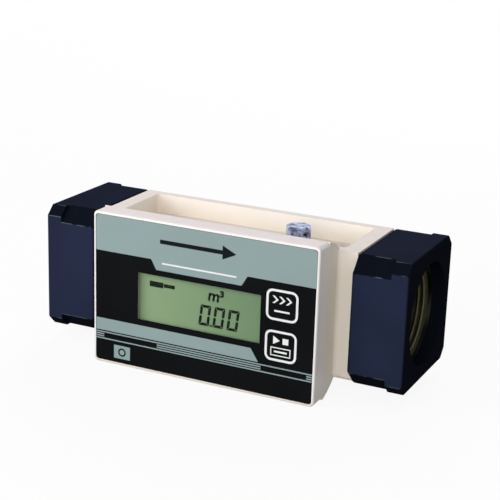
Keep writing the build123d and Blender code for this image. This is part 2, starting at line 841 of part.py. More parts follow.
# Measuring pipe: narrower round the rotor, grooved for its seals and snap rings, tapped for port and pickup
sleeve_radius = pipe_bore - sleeve_clearance
inlet_ring_x = -rotor_zone - inlet_sleeve_length - snap_ring_thickness
outlet_ring_x = rotor_zone + outlet_sleeve_length
snap_groove_radius = pipe_bore + snap_groove_depth
o_ring_x = pipe_half_length - o_ring_inset
o_ring_radius = pipe_radius + slip_gap / 2 - o_ring_section
o_ring_seat_radius = o_ring_radius - o_ring_section
with BuildPart() as measuring_pipe:
    with BuildSketch(across(-pipe_half_length)):
        Circle(pipe_radius)
        Circle(rotor_bore, mode=Mode.SUBTRACT)
    extrude(amount=2 * pipe_half_length)
    for pipe_side in (-1, 1):
        with BuildSketch(flow_section(pipe_side)):
            with BuildLine():
                Polyline(
                    (rotor_zone, 0),
                    (rotor_zone, pipe_bore),
                    (pipe_half_length, pipe_bore),
                    (pipe_half_length, 0),
                    close=True,
                )
            make_face()
        revolve(axis=Axis.X, mode=Mode.SUBTRACT)
        with BuildSketch(flow_section(pipe_side)):
            with Locations((o_ring_x, pipe_radius)):
                Rectangle(o_ring_groove_width, 2 * (pipe_radius - o_ring_seat_radius))
        revolve(axis=Axis.X, mode=Mode.SUBTRACT)
    for ring_x in (inlet_ring_x, outlet_ring_x):
        with BuildSketch(across(ring_x)):
            Circle(snap_groove_radius)
        extrude(amount=snap_ring_thickness, mode=Mode.SUBTRACT)
    with BuildSketch(level(port_spot_height)):
        with Locations((port_x, 0)):
            Circle(port_stem_radius + port_spot_gap)
    extrude(amount=pipe_radius - port_spot_height, mode=Mode.SUBTRACT)
    with BuildSketch(level(0)):
        with Locations((port_x, 0)):
            Circle(port_tap_radius)
    extrude(amount=pipe_radius, mode=Mode.SUBTRACT)
    with BuildSketch(facing(pickup_nose - slip_gap)):
        Circle(pickup_radius + slip_gap)
    extrude(amount=pipe_radius - pickup_nose + slip_gap, mode=Mode.SUBTRACT)
    with BuildSketch(facing(pipe_radius - saddle_screw_bite)):
        with Locations((-saddle_screw_x, 0), (saddle_screw_x, 0)):
            Circle(saddle_screw_radius)
    extrude(amount=saddle_screw_bite, mode=Mode.SUBTRACT)
save(measuring_pipe, "measuring_pipe")


def make_o_ring(side, label):
    """Round seal on one end of the pipe."""
    with BuildPart() as seal:
        with BuildSketch(flow_section(side)):
            with Locations((o_ring_x, o_ring_radius)):
                Circle(o_ring_section)
        revolve(axis=Axis.X)
    save(seal, label)


def make_snap_ring(ring_x, label):
    """Open spring ring that keeps a flow guide against the pipe's step."""
    with BuildPart() as ring:
        with BuildSketch(across(ring_x)):
            Circle(snap_groove_radius)
            Circle(rotor_bore, mode=Mode.SUBTRACT)
            with Locations((0, -pipe_bore)):
                Rectangle(snap_ring_opening, snap_ring_opening, mode=Mode.SUBTRACT)
        extrude(amount=snap_ring_thickness)
    save(ring, label)


make_o_ring(-1, "inlet_o_ring")
make_o_ring(1, "outlet_o_ring")
make_snap_ring(inlet_ring_x, "inlet_snap_ring")
make_snap_ring(outlet_ring_x, "outlet_snap_ring")


def make_flow_guide(side, sleeve_length, hub_end, cone_length, label):
    """Streamlined hub on straight vanes inside a sleeve, with a bearing well in the face by the rotor."""
    with BuildPart() as guide:
        with BuildSketch(flow_section(side)):
            with BuildLine():
                Line((hub_face, 0), (hub_face, hub_radius))
                Line((hub_face, hub_radius), (hub_end, hub_radius))
                EllipticalCenterArc(
                    (hub_end, 0), cone_length, hub_radius, start_angle=0, arc_size=quarter_turn
                )
                Line((hub_end + cone_length, 0), (hub_face, 0))
            make_face()
        revolve(axis=Axis.X)
        with BuildSketch(flow_section(side)):
            with BuildLine():
                Polyline(
                    (rotor_zone, rotor_bore),
                    (rotor_zone + sleeve_length, rotor_bore),
                    (rotor_zone + sleeve_length, sleeve_radius),
                    (rotor_zone, sleeve_radius),
                    close=True,
                )
            make_face()
        revolve(axis=Axis.X)
        vane_root = hub_radius - vane_setback
        vane_tip = (rotor_bore + sleeve_radius) / 2
        vane_length = sleeve_length - 2 * vane_setback
        vane_start = side * (rotor_zone + vane_setback)
        with BuildSketch(across(vane_start)):
            with PolarLocations((vane_root + vane_tip) / 2, vane_count):
                Rectangle(vane_tip - vane_root, vane_thickness)
        extrude(amount=side * vane_length)
        with BuildSketch(across(side * hub_face)):
            Circle(bearing_radius)
        extrude(amount=side * (bearing_recess + bearing_width), mode=Mode.SUBTRACT)
        with BuildSketch(across(side * bearing_far_face)):
            Circle(shaft_well)
        extrude(amount=side * (shaft_overhang + fit_gap), mode=Mode.SUBTRACT)
    save(guide, label)


inlet_hub_end = rotor_zone + inlet_sleeve_length
make_flow_guide(-1, inlet_sleeve_length, inlet_hub_end, nose_length, "inlet_flow_guide")
make_flow_guide(1, outlet_sleeve_length, outlet_hub_length, tail_length, "outlet_flow_guide")

# One helical blade about Z: thin edges, thicker middle, each section turned a little more than the last
blade_root = hub_radius - rim_thickness / 2
with BuildPart() as blade:
    for section_index in range(blade_sections):
        share = section_index / (blade_sections - 1)
        swell = sin(radians(180 * share))
        thickness = blade_edge_thickness + (blade_thickness - blade_edge_thickness) * swell
        section_plane = Plane(
            origin=(0, 0, rotor_width * (share - 0.5)),
            x_dir=(
                cos(radians(blade_twist * (share - 0.5))),
                sin(radians(blade_twist * (share - 0.5))),
                0,
            ),
            z_dir=(0, 0, 1),
        )
        with BuildSketch(section_plane):
            with Locations(((blade_root + rotor_radius) / 2, 0)):
                Rectangle(rotor_radius - blade_root, thickness)
    loft()

# Rotor: boss, web and rim, with the blades round the rim and a recess for the magnet behind
boss_half = hub_face + bearing_recess - boss_gap
with BuildPart() as turbine_rotor:
    with BuildSketch(flow_section()):
        with BuildLine():
            Polyline(
                (-boss_half, shaft_radius),
                (-boss_half, boss_radius),
                (-web_thickness / 2, boss_radius),
                (-web_thickness / 2, hub_radius - rim_thickness),
                (-rotor_width / 2, hub_radius - rim_thickness),
                (-rotor_width / 2, hub_radius),
                (rotor_width / 2, hub_radius),
                (rotor_width / 2, hub_radius - rim_thickness),
                (web_thickness / 2, hub_radius - rim_thickness),
                (web_thickness / 2, boss_radius),
                (boss_half, boss_radius),
                (boss_half, shaft_radius),
                close=True,
            )
        make_face()
    revolve(axis=Axis.X)
    with Locations(across(0)):
        with PolarLocations(0, blade_count):
            add(blade.part)
save(turbine_rotor, "turbine_rotor")

with BuildPart() as rotor_magnet:
    with BuildSketch(across(web_thickness / 2)):
        Circle(hub_radius - rim_thickness - magnet_rim_gap)
        Circle(boss_radius, mode=Mode.SUBTRACT)
    extrude(amount=magnet_thickness)
save(rotor_magnet, "rotor_magnet")

with BuildPart() as rotor_shaft:
    with BuildSketch(across(-bearing_far_face - shaft_overhang)):
        Circle(shaft_radius)
    extrude(amount=2 * (bearing_far_face + shaft_overhang))
    chamfer(rotor_shaft.edges().filter_by(GeomType.CIRCLE), shaft_chamfer)
save(rotor_shaft, "rotor_shaft")


def make_bearing(side, name):
    """Miniature ball bearing: outer ring, inner ring, cage and balls, each in its own node."""
    middle = side * (hub_face + bearing_recess + bearing_width / 2)
    race_radius = ball_radius + ball_play
    ball_angles = [360 * index / ball_count for index in range(ball_count)]
    ball_points = [
        (
            mid_x + middle,
            ball_pitch_radius * cos(radians(angle)),
            ball_pitch_radius * sin(radians(angle)),
        )
        for angle in ball_angles
    ]
    groove_section = Plane(origin=(mid_x + middle, 0, 0), x_dir=(1, 0, 0), z_dir=(0, -1, 0))
    with BuildPart() as outer_ring:
        with BuildSketch(groove_section):
            with Locations((0, bearing_radius - ring_land / 2)):
                Rectangle(bearing_width, ring_land)
            with Locations((0, ball_pitch_radius)):
                Circle(race_radius, mode=Mode.SUBTRACT)
        revolve(axis=Axis.X)
    save(outer_ring, f"{name}_bearing_outer_ring")
    with BuildPart() as inner_ring:
        with BuildSketch(groove_section):
            with Locations((0, shaft_radius + ring_land / 2)):
                Rectangle(bearing_width, ring_land)
            with Locations((0, ball_pitch_radius)):
                Circle(race_radius, mode=Mode.SUBTRACT)
        revolve(axis=Axis.X)
    save(inner_ring, f"{name}_bearing_inner_ring")
    with BuildPart() as cage:
        with BuildSketch(groove_section):
            with Locations((0, ball_pitch_radius)):
                Rectangle(cage_width, cage_thickness)
        revolve(axis=Axis.X)
        for angle in ball_angles:
            radial = (0, cos(radians(angle)), sin(radians(angle)))
            with BuildSketch(Plane(origin=(mid_x + middle, 0, 0), x_dir=(1, 0, 0), z_dir=radial)):
                Circle(ball_radius + cage_play)
            extrude(amount=bearing_radius, mode=Mode.SUBTRACT)
    save(cage, f"{name}_bearing_cage")
    with BuildPart() as balls:
        with Locations(*ball_points):
            Sphere(ball_radius)
    save(balls, f"{name}_bearing_balls")


make_bearing(-1, "inlet")
make_bearing(1, "outlet")

# Pickup: a saddle screwed to the front of the pipe, the sensor through it, and its two screws
with BuildPart() as pickup_saddle:
    with BuildSketch(facing(0)):
        RectangleRounded(saddle_width, saddle_height, saddle_corner)
        Circle(pickup_radius + slip_gap, mode=Mode.SUBTRACT)
        with Locations((-saddle_screw_x, 0), (saddle_screw_x, 0)):
            Circle(saddle_screw_radius + slip_gap, mode=Mode.SUBTRACT)
    extrude(amount=saddle_front)
    with BuildSketch(across(-saddle_width)):
        Circle(pipe_radius + slip_gap / 2)
    extrude(amount=2 * saddle_width, mode=Mode.SUBTRACT)
save(pickup_saddle, "pickup_saddle")

with BuildPart() as pickup_sensor:
    with BuildSketch(facing(pickup_nose)):
        Circle(pickup_radius)
    extrude(amount=pickup_front - pickup_nose)
    with BuildSketch(facing(saddle_front)):
        RegularPolygon(pickup_collar_radius, hexagon_sides)
    extrude(amount=pickup_collar)
save(pickup_sensor, "pickup_sensor")

with BuildPart() as saddle_screws:
    with BuildSketch(facing(saddle_front)):
        with Locations((-saddle_screw_x, 0), (saddle_screw_x, 0)):
            Circle(saddle_screw_head_radius)
    extrude(amount=saddle_screw_head)
    with BuildSketch(facing(pipe_radius - saddle_screw_bite)):
        with Locations((-saddle_screw_x, 0), (saddle_screw_x, 0)):
            Circle(saddle_screw_radius)
    extrude(amount=saddle_front - pipe_radius + saddle_screw_bite)
save(saddle_screws, "saddle_screws")

# Test port: a stem screwed into the pipe with a collar on the tray's floor, a seal and a hexagon plug
with BuildPart() as test_port_stem:
    with BuildSketch(level(port_spot_height)):
        with Locations((port_x, 0)):
            Circle(port_stem_radius)
    extrude(amount=port_collar_top - port_spot_height)
    with BuildSketch(level(port_spot_height)):
        with Locations((port_x, 0)):
            Circle(port_tap_radius)
    extrude(amount=-port_tap_depth)
    with BuildSketch(level(port_collar_base)):
        with Locations((port_x, 0)):
            Circle(port_stem_radius + port_collar_lip)
    extrude(amount=port_collar)
    with BuildSketch(level(port_collar_top)):
        with Locations((port_x, 0)):
            Circle(plug_shank_radius)
    extrude(amount=-plug_shank - slip_gap, mode=Mode.SUBTRACT)
    with BuildSketch(level(port_collar_top)):
        with Locations((port_x, 0)):
            Circle(port_channel_radius)
    extrude(amount=-pipe_radius, mode=Mode.SUBTRACT)
save(test_port_stem, "test_port_stem")

with BuildPart() as test_port_seal:
    with BuildSketch(level(port_collar_top)):
        with Locations((port_x, 0)):
            Circle(plug_flats / 2)
            Circle(plug_shank_radius + fit_gap, mode=Mode.SUBTRACT)
    extrude(amount=port_seal_thickness)
save(test_port_seal, "test_port_seal")

plug_base = port_collar_top + port_seal_thickness
plug_top = plug_base + plug_head
plug_crown_radius = plug_flats / 2 - plug_crown_inset
crown_drop = (plug_flats - plug_crown_radius) * tan(radians(plug_crown_slope))
with BuildPart() as test_port_plug:
    with BuildSketch(level(plug_base)):
        with Locations((port_x, 0)):
            RegularPolygon(plug_flats / 2, hexagon_sides, major_radius=False)
    extrude(amount=plug_head)
    # the crown is turned to a cone that only takes the hexagon's corners
    with BuildSketch(Plane(origin=(mid_x + port_x, 0, 0), x_dir=(1, 0, 0), z_dir=(0, -1, 0))):
        with BuildLine():
            Polyline(
                (0, plug_base),
                (plug_flats, plug_base),
                (plug_flats, plug_top - crown_drop),
                (plug_crown_radius, plug_top),
                (0, plug_top),
                close=True,
            )
        make_face()
    revolve(axis=Axis((mid_x + port_x, 0, 0), (0, 0, 1)), mode=Mode.INTERSECT)
    with BuildSketch(level(plug_base)):
        with Locations((port_x, 0)):
            Circle(plug_shank_radius)
    extrude(amount=-port_seal_thickness - plug_shank)
save(test_port_plug, "test_port_plug")
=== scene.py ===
"""Looks of an in-line turbine flow meter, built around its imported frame.

Lengths are in metres, in the frame's own axes: X follows the flow, -Y is the display's side and Z is up.
The flow axis is at Y = Z = 0, and MID_X is the middle of the meter's length.
"""

import json
import logging
import math
from dataclasses import dataclass, field
from enum import Enum

import bmesh
import bpy
from mathutils import Matrix, Vector


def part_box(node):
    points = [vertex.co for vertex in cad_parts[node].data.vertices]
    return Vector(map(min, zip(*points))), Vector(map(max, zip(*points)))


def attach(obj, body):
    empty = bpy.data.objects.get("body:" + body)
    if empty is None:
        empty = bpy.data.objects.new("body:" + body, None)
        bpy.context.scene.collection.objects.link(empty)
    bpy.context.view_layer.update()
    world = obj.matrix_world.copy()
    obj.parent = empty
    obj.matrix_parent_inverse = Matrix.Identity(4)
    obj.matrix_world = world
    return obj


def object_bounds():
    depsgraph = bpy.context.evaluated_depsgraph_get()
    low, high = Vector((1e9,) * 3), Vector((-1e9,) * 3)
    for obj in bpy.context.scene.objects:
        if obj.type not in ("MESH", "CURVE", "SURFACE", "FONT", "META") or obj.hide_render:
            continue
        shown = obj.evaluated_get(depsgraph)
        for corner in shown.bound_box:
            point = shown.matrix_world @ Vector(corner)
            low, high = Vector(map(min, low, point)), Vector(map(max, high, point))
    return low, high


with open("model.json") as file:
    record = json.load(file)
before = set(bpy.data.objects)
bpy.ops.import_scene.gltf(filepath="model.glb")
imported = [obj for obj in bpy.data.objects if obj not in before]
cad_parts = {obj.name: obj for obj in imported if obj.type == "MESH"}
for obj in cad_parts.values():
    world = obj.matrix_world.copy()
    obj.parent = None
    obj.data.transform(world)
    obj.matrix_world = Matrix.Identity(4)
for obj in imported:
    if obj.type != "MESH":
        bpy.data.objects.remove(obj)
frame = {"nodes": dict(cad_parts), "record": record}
CAD_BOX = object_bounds()
LOG = logging.getLogger("flow_meter")

MM = 0.001
Colour = tuple[float, float, float, float]
Point2 = tuple[float, float]
Rect = tuple[float, float, float, float]
Outline = list[Point2]
Shape = bmesh.types.BMesh
Socket = bpy.types.NodeSocket
Tree = bpy.types.NodeTree
Material = bpy.types.Material
Piece = bpy.types.Object


def srgb(red: int, green: int, blue: int) -> Colour:
    """Turn a display colour into a linear one.

    Args:
        red, green, blue: Levels from 0 to 255.

    Returns:
        The linear colour with an alpha of 1.
    """
    levels = []
    for level in (red, green, blue):
        share = level / 255
        levels.append(share / 12.92 if share <= 0.04045 else ((share + 0.055) / 1.055) ** 2.4)
    return (levels[0], levels[1], levels[2], 1.0)


MID_X = (CAD_BOX[0].x + CAD_BOX[1].x) / 2
WHITE = (1.0, 1.0, 1.0, 1.0)
# Pinkish grey of dust on faces that look up, partly a painted top light.
DUST_AND_TOP_LIGHT_COLOUR = srgb(214, 199, 206)
THREAD_CREST = 19.48 * MM


class Body(Enum):
    """Bodies of the frame that new pieces ride on."""

    METER = "meter"
    RATE_KEY = "rate_key_body"
    START_KEY = "start_key_body"


def feed(tree: Tree, node: bpy.types.Node, inputs: dict[str | int, object]) -> None:
    """Set or link a node's inputs.

    Args:
        tree: The tree that holds the node.
        node: The node.
        inputs: An input's name or number to its value, or to the socket that feeds it.
    """
    for name, value in inputs.items():
        if isinstance(value, Socket):
            tree.links.new(value, node.inputs[name])
        else:
            node.inputs[name].default_value = value


def add(
    tree: Tree, kind: str, inputs: dict[str | int, object] | None = None, **settings: object
) -> bpy.types.Node:
    """Add a shader node with its settings, values and links.

    Args:
        tree: The tree that gets the node.
        kind: The node's type, without its first word, ShaderNode.
        inputs: What feed sets or links.
        **settings: The node's own settings, such as its operation.

    Returns:
        The node.
    """
    node = tree.nodes.new("ShaderNode" + kind)
    for setting, value in settings.items():
        setattr(node, setting, value)
    feed(tree, node, inputs or {})
    return node


def reckon(tree: Tree, operation: str, *values: float | Socket) -> Socket:
    """Return the result of one Math node on the values."""
    return add(tree, "Math", dict(enumerate(values)), operation=operation).outputs["Value"]


def product(tree: Tree, *values: float | Socket) -> Socket:
    """Multiply values.

    Args:
        tree: The tree that asks.
        *values: Two or more values.

    Returns:
        The socket with their product.
    """
    result = values[0]
    for value in values[1:]:
        result = reckon(tree, "MULTIPLY", result, value)
    return result


def ramp(
    tree: Tree, value: Socket, span: Point2, result: tuple[float | Socket, float | Socket] = (0.0, 1.0)
) -> Socket:
    """Turn a span of a value into a span of results, held at its ends.

    Args:
        tree: The tree that asks.
        value: The value.
        span: Where the ramp starts and ends.
        result: The results there.

    Returns:
        The socket with the result.
    """
    inputs = {"Value": value, "From Min": span[0], "From Max": span[1]}
    inputs.update({"To Min": result[0], "To Max": result[1]})
    return add(tree, "MapRange", inputs).outputs["Result"]


def mix(tree: Tree, share: Socket, first: Colour | Socket, second: Colour | Socket) -> Socket:
    """Return the first colour where the share is 0, and the second where it is 1."""
    return add(tree, "Mix", {"Factor": share, "A": first, "B": second}, data_type="RGBA").outputs["Result"]


def cloud(tree: Tree, scale: float | Socket, detail: float = 2.0, coarse: float | Socket = 0.5) -> Socket:
    """Return soft noise from 0 to 1 in the piece's own coordinates.

    Args:
        tree: The tree that asks.
        scale: Patches per metre.
        detail: Octaves of finer noise.
        coarse: Strength of the finer noise.

    Returns:
        The socket with the noise.
    """
    place = add(tree, "TexCoord").outputs["Object"]
    inputs = {"Vector": place, "Scale": scale, "Detail": detail, "Roughness": coarse}
    return add(tree, "TexNoise", inputs).outputs["Fac"]


class SharedEffects:
    """Shader node groups that several finishes use, and the materials made so far.

    Attributes:
        BORE_SHADE_REACH: Radius round the flow axis within which the coat takes its painted shade, the
            darker tone.
        BORE_SHADE_FADE: Width over which that painted shade ends.
        EDGE_LINE_START: Radii between which the edge line, partly rubbed wear and partly a painted
            highlight, starts outside the bore.
        CREST_SPAN: Heights over a thread's crest between which its painted highlight starts and is whole.
        TOP_SHADE_SHARE: Weight of a face's upward look in that painted shade.
        DULLING: How much of the coat that painted shade takes away.
        RECESS_SHADE_REACH: How far a corner reaches on a pale moulding, for its painted shade.
        DUST_SCALE, EDGE_LINE_SCALE: Patches per metre of dust, partly a painted top light, and of the edge
            line, partly a painted highlight.
    """

    BORE_SHADE_REACH = 22.6 * MM
    BORE_SHADE_FADE = 0.3 * MM
    EDGE_LINE_START = (24.6 * MM, 25.6 * MM)
    CREST_SPAN = (0.3 * MM, 0.1 * MM)
    TOP_SHADE_SHARE = 0.69
    DULLING = 0.85
    RECESS_SHADE_REACH = 11.0 * MM
    DUST_SCALE = 260.0
    EDGE_LINE_SCALE = 150.0

    def __init__(self) -> None:
        """Build each group once."""
        self.finished: dict[str, Material] = {}
        self.grain = self._grain()
        self.mottle = self._mottle()
        self.dust_and_top_light = self._dust_and_top_light()
        self.turning = self._turning()
        self.wear_and_highlight = self._wear_and_highlight()
        self.tone = self._painted_coat_shade()
        self.recess_shade = self._recess_shade()
        self.crest_highlights = self._crest_highlights()

    @staticmethod
    def _open(name: str, inputs: dict[str, float | None]) -> tuple[Tree, bpy.types.NodeOutputs]:
        """Start a group with named inputs.

        Args:
            name: The group's name.
            inputs: An input's name to its first value, or to None for a colour.

        Returns:
            The group, and the sockets that give its inputs.
        """
        group = bpy.data.node_groups.new(name, "ShaderNodeTree")
        for socket, value in inputs.items():
            kind = "NodeSocketColor" if value is None else "NodeSocketFloat"
            made = group.interface.new_socket(name=socket, in_out="INPUT", socket_type=kind)
            if value is not None:
                made.default_value = value
        return group, group.nodes.new("NodeGroupInput").outputs

    @staticmethod
    def _close(group: Tree, outputs: dict[str, Socket]) -> Tree:
        """Give a group its named outputs.

        Args:
            group: The group.
            outputs: An output's name to the socket that feeds it.

        Returns:
            The group.
        """
        for socket in outputs:
            kind = "NodeSocketColor" if socket == "Color" else "NodeSocketFloat"
            group.interface.new_socket(name=socket, in_out="OUTPUT", socket_type=kind)
        feed(group, group.nodes.new("NodeGroupOutput"), outputs)
        return group

    def _grain(self) -> Tree:
        """Build the fine grain of a spark-eroded mould or a sprayed coat: a height from 0 to 1."""
        group, given = self._open("surface_grain", {"Scale": 2000.0, "Coarseness": 0.5})
        noise = cloud(group, given["Scale"], detail=3.0, coarse=given["Coarseness"])
        return self._close(group, {"Height": noise})

    def _mottle(self) -> Tree:
        """Build the slow drift of a surface between two colours and two roughnesses."""
        inputs = {"First": None, "Second": None, "Smooth": 0.4, "Rough": 0.5, "Scale": 40.0}
        group, given = self._open("slow_mottle", inputs)
        patches = ramp(group, cloud(group, given["Scale"], detail=4.0), (0.34, 0.66))
        colour = mix(group, patches, given["First"], given["Second"])
        roughness = ramp(group, patches, (0.0, 1.0), (given["Smooth"], given["Rough"]))
        return self._close(group, {"Color": colour, "Roughness": roughness})

    def _dust_and_top_light(self) -> Tree:
        """Build settled dust on faces that look up, partly a painted top light: those faces turn towards a
        pinkish grey.
        """
        group, given = self._open("settled_dust_and_top_light", {"Color": None, "Dust And Top Light": None, "Amount": 0.1})
        facing = add(group, "SeparateXYZ", {"Vector": add(group, "NewGeometry").outputs["Normal"]})
        upward = ramp(group, facing.outputs["Z"], (0.5, 1.0))
        patches = ramp(group, cloud(group, self.DUST_SCALE), (0.3, 0.7), (0.42, 0.6))
        # Partly dust and partly a painted top light on faces that look up.
        share = product(group, upward, patches, given["Amount"])
        return self._close(group, {"Color": mix(group, share, given["Color"], given["Dust And Top Light"])})

    def _turning(self) -> Tree:
        """Build the fine rings that a lathe leaves across the flow axis: a height from 0 to 1."""
        group, given = self._open("turning_marks", {"Rings per metre": 3000.0})
        place = add(group, "TexCoord").outputs["Object"]
        inputs = {"Vector": place, "Scale": given["Rings per metre"], "Distortion": 1.2, "Detail": 2.0}
        wave = add(group, "TexWave", inputs, bands_direction="X")
        return self._close(group, {"Height": wave.outputs["Fac"]})

    def _wear_and_highlight(self) -> Tree:
        """Build the broken light line along a long chamfer's rounded edges, partly rubbed wear and partly a
        painted highlight: a colour that turns into it.
        """
        group, given = self._open("rubbed_edges_and_highlight", {"Color": None, "Worn Highlight": None, "Amount": 0.5})
        across, slope, _ = self._facing(group)
        leaves_flat = ramp(group, slope, (0.1, 0.2))
        before_chamfer = ramp(group, slope, (0.49, 0.45))
        outside = self._from_axis(group, self.EDGE_LINE_START)
        not_end = ramp(group, across, (0.2, 0.05))
        patches = ramp(group, cloud(group, self.EDGE_LINE_SCALE), (0.46, 0.56))
        # The lighter line is partly rubbed wear and partly a painted highlight.
        share = product(group, leaves_flat, before_chamfer, outside, not_end, patches, given["Amount"])
        return self._close(group, {"Color": mix(group, share, given["Color"], given["Worn Highlight"])})

    def _painted_coat_shade(self) -> Tree:
        """Build painted shade on the coat: a darker, duller colour on the chamfers, the end faces and the
        bore, and partly on top, by which way a face looks.
        """
        group, given = self._open("painted_coat_shade", {"Color": None, "Shade Tone": None, "Coat": 0.05})
        across, slope, level = self._facing(group)
        # Painted shade: chamfers, end faces, the bore and partly the top turn darker by which way they face.
        sloped_or_end = reckon(group, "MULTIPLY_ADD", slope, 2.0, across)
        any_way = reckon(group, "MULTIPLY_ADD", level, self.TOP_SHADE_SHARE, sloped_or_end)
        bore = self._from_axis(group, (self.BORE_SHADE_REACH + self.BORE_SHADE_FADE, self.BORE_SHADE_REACH))
        share = reckon(group, "MAXIMUM", ramp(group, any_way, (0.45, 0.92)), bore)
        duller = reckon(group, "MULTIPLY_ADD", share, -self.DULLING, 1.0)
        colour = mix(group, share, given["Color"], given["Shade Tone"])
        return self._close(group, {"Color": colour, "Coat": product(group, duller, given["Coat"])})

    def _recess_shade(self) -> Tree:
        """Build painted shade: a warmer, darker colour in the corners and recesses of a pale moulding, where
        less light reaches.
        """
        group, given = self._open("painted_recess_shade", {"Color": None, "Recess Shade": None, "Amount": 0.5})
        # Painted shade: the less open a point is, the more it takes the darker recess colour.
        openness = add(group, "AmbientOcclusion", {"Distance": self.RECESS_SHADE_REACH}, samples=8)
        occluded = ramp(group, openness.outputs["AO"], (0.95, 0.35))
        share = product(group, occluded, given["Amount"])
        return self._close(group, {"Color": mix(group, share, given["Color"], given["Recess Shade"])})

    def _crest_highlights(self) -> Tree:
        """Build a painted highlight: a bright line along a thread's crest."""
        group, given = self._open("painted_crest_highlights", {"Color": None, "Crest Highlight": None})
        start, whole = self.CREST_SPAN
        # Painted highlight on the crests.
        near = self._from_axis(group, (THREAD_CREST + start, THREAD_CREST + whole))
        return self._close(group, {"Color": mix(group, near, given["Color"], given["Crest Highlight"])})

    @staticmethod
    def _facing(group: Tree) -> tuple[Socket, Socket, Socket]:
        """Return which way a face looks.

        Args:
            group: The group that asks.

        Returns:
            How far it looks along X, how near it is to a long chamfer (0 to 0.5), and how far along Z.
        """
        way = add(group, "SeparateXYZ", {"Vector": add(group, "TexCoord").outputs["Normal"]}).outputs
        across = reckon(group, "ABSOLUTE", way["X"])
        slope = reckon(group, "ABSOLUTE", product(group, way["Y"], way["Z"]))
        return across, slope, reckon(group, "ABSOLUTE", way["Z"])

    @staticmethod
    def _from_axis(group: Tree, span: Point2) -> Socket:
        """Return a mask by the distance from the flow axis.

        Args:
            group: The group that asks.
            span: Distances at which the mask is 0 and 1.

        Returns:
            The socket with the mask.
        """
        place = add(group, "TexCoord").outputs["Object"]
        across = add(group, "VectorMath", {0: place, 1: (0.0, 1.0, 1.0)}, operation="MULTIPLY")
        radius = add(group, "VectorMath", {0: across.outputs["Vector"]}, operation="LENGTH")
        return ramp(group, radius.outputs["Value"], span)


@dataclass(frozen=True)
class Finish:
    """One surface finish: two colours that drift into each other, a grain, and a gloss.

    Attributes:
        name: The material's name.
        first, second: The two colours of the slow drift.
        smooth, rough: The two roughnesses of the slow drift.
        metallic: 1 for bare metal.
        coat: Weight of a clear coat.
        coat_roughness: Roughness of the clear coat.
        drift_scale: Patches of drift per metre.
        grain_scale: Grains per metre.
        grain_depth: Height of the grain, in metres.
        turned: True for metal with lathe rings in place of grain.
        dust_and_top_light: Share of settled dust on faces that look up, which is partly a painted top light.
        worn_highlight: Colour of the edge line of long chamfers, partly rubbed wear and partly a painted
            highlight, or None where they keep the colour.
        wear_and_highlight: Share of that colour there.
        crest: Colour of the painted highlight on a thread's crests, or None where there are none.
        recess_shade: Colour of the painted shade in corners and recesses, or None where they keep the
            colour.
        recess_shade_share: Share of that painted shade in the deepest corner.
        shade_tone: Colour of the painted shade on chamfers, end faces and bore, and partly on the top, or
            None for no change.
        alpha: Opacity.
        specular: Specular level of the surface.
    """

    name: str
    first: Colour
    second: Colour
    smooth: float = 0.35
    rough: float = 0.45
    metallic: float = 0.0
    coat: float = 0.0
    coat_roughness: float = 0.1
    drift_scale: float = 30.0
    grain_scale: float = 2500.0
    grain_depth: float = 0.00001
    turned: bool = False
    dust_and_top_light: float = 0.0
    worn_highlight: Colour | None = None
    wear_and_highlight: float = 0.5
    crest: Colour | None = None
    recess_shade: Colour | None = None
    recess_shade_share: float = 0.62
    shade_tone: Colour | None = None
    alpha: float = 1.0
    specular: float = 0.5

    def material(self, effects: SharedEffects) -> Material:
        """Build the material, or return it if it was built before.

        Args:
            effects: The shared node groups.

        Returns:
            The material.
        """
        if self.name in effects.finished:
            return effects.finished[self.name]
        made = bpy.data.materials.new(self.name)
        effects.finished[self.name] = made
        made.use_nodes = True
        tree = made.node_tree
        shader = tree.nodes["Principled BSDF"]
        mottle = {
            "First": self.first, "Second": self.second, "Smooth": self.smooth, "Rough": self.rough,
            "Scale": self.drift_scale,
        }
        drift = add(tree, "Group", mottle, node_tree=effects.mottle)
        relief = effects.turning if self.turned else effects.grain
        height = add(tree, "Group", {0: self.grain_scale}, node_tree=relief).outputs["Height"]
        bump = add(tree, "Bump", {"Distance": self.grain_depth, "Height": height})
        plain = {
            "Roughness": drift.outputs["Roughness"], "Normal": bump.outputs["Normal"],
            "Metallic": self.metallic, "Specular IOR Level": self.specular, "Alpha": self.alpha,
            "Coat Weight": self.coat, "Coat Roughness": self.coat_roughness,
        }
        feed(tree, shader, plain)
        # Colour layers: painted shade in recesses, painted shade on the coat, an edge line that is partly a
        # painted highlight, painted highlights on thread crests, and dust that is partly a painted top
        # light.
        layers = (
            (self.recess_shade, effects.recess_shade, {"Recess Shade": self.recess_shade, "Amount": self.recess_shade_share}),
            (self.shade_tone, effects.tone, {"Shade Tone": self.shade_tone, "Coat": self.coat}),
            (self.worn_highlight, effects.wear_and_highlight, {"Worn Highlight": self.worn_highlight, "Amount": self.wear_and_highlight}),
            (self.crest, effects.crest_highlights, {"Crest Highlight": self.crest}),
            (self.dust_and_top_light, effects.dust_and_top_light, {"Dust And Top Light": DUST_AND_TOP_LIGHT_COLOUR, "Amount": self.dust_and_top_light}),
        )
        colour = drift.outputs["Color"]
        for wanted, group, values in layers:
            if wanted:
                layer = add(tree, "Group", {"Color": colour, **values}, node_tree=group)
                colour = layer.outputs["Color"]
                if "Coat" in layer.outputs:
                    feed(tree, shader, {"Coat Weight": layer.outputs["Coat"]})
        feed(tree, shader, {"Base Color": colour})
        return made


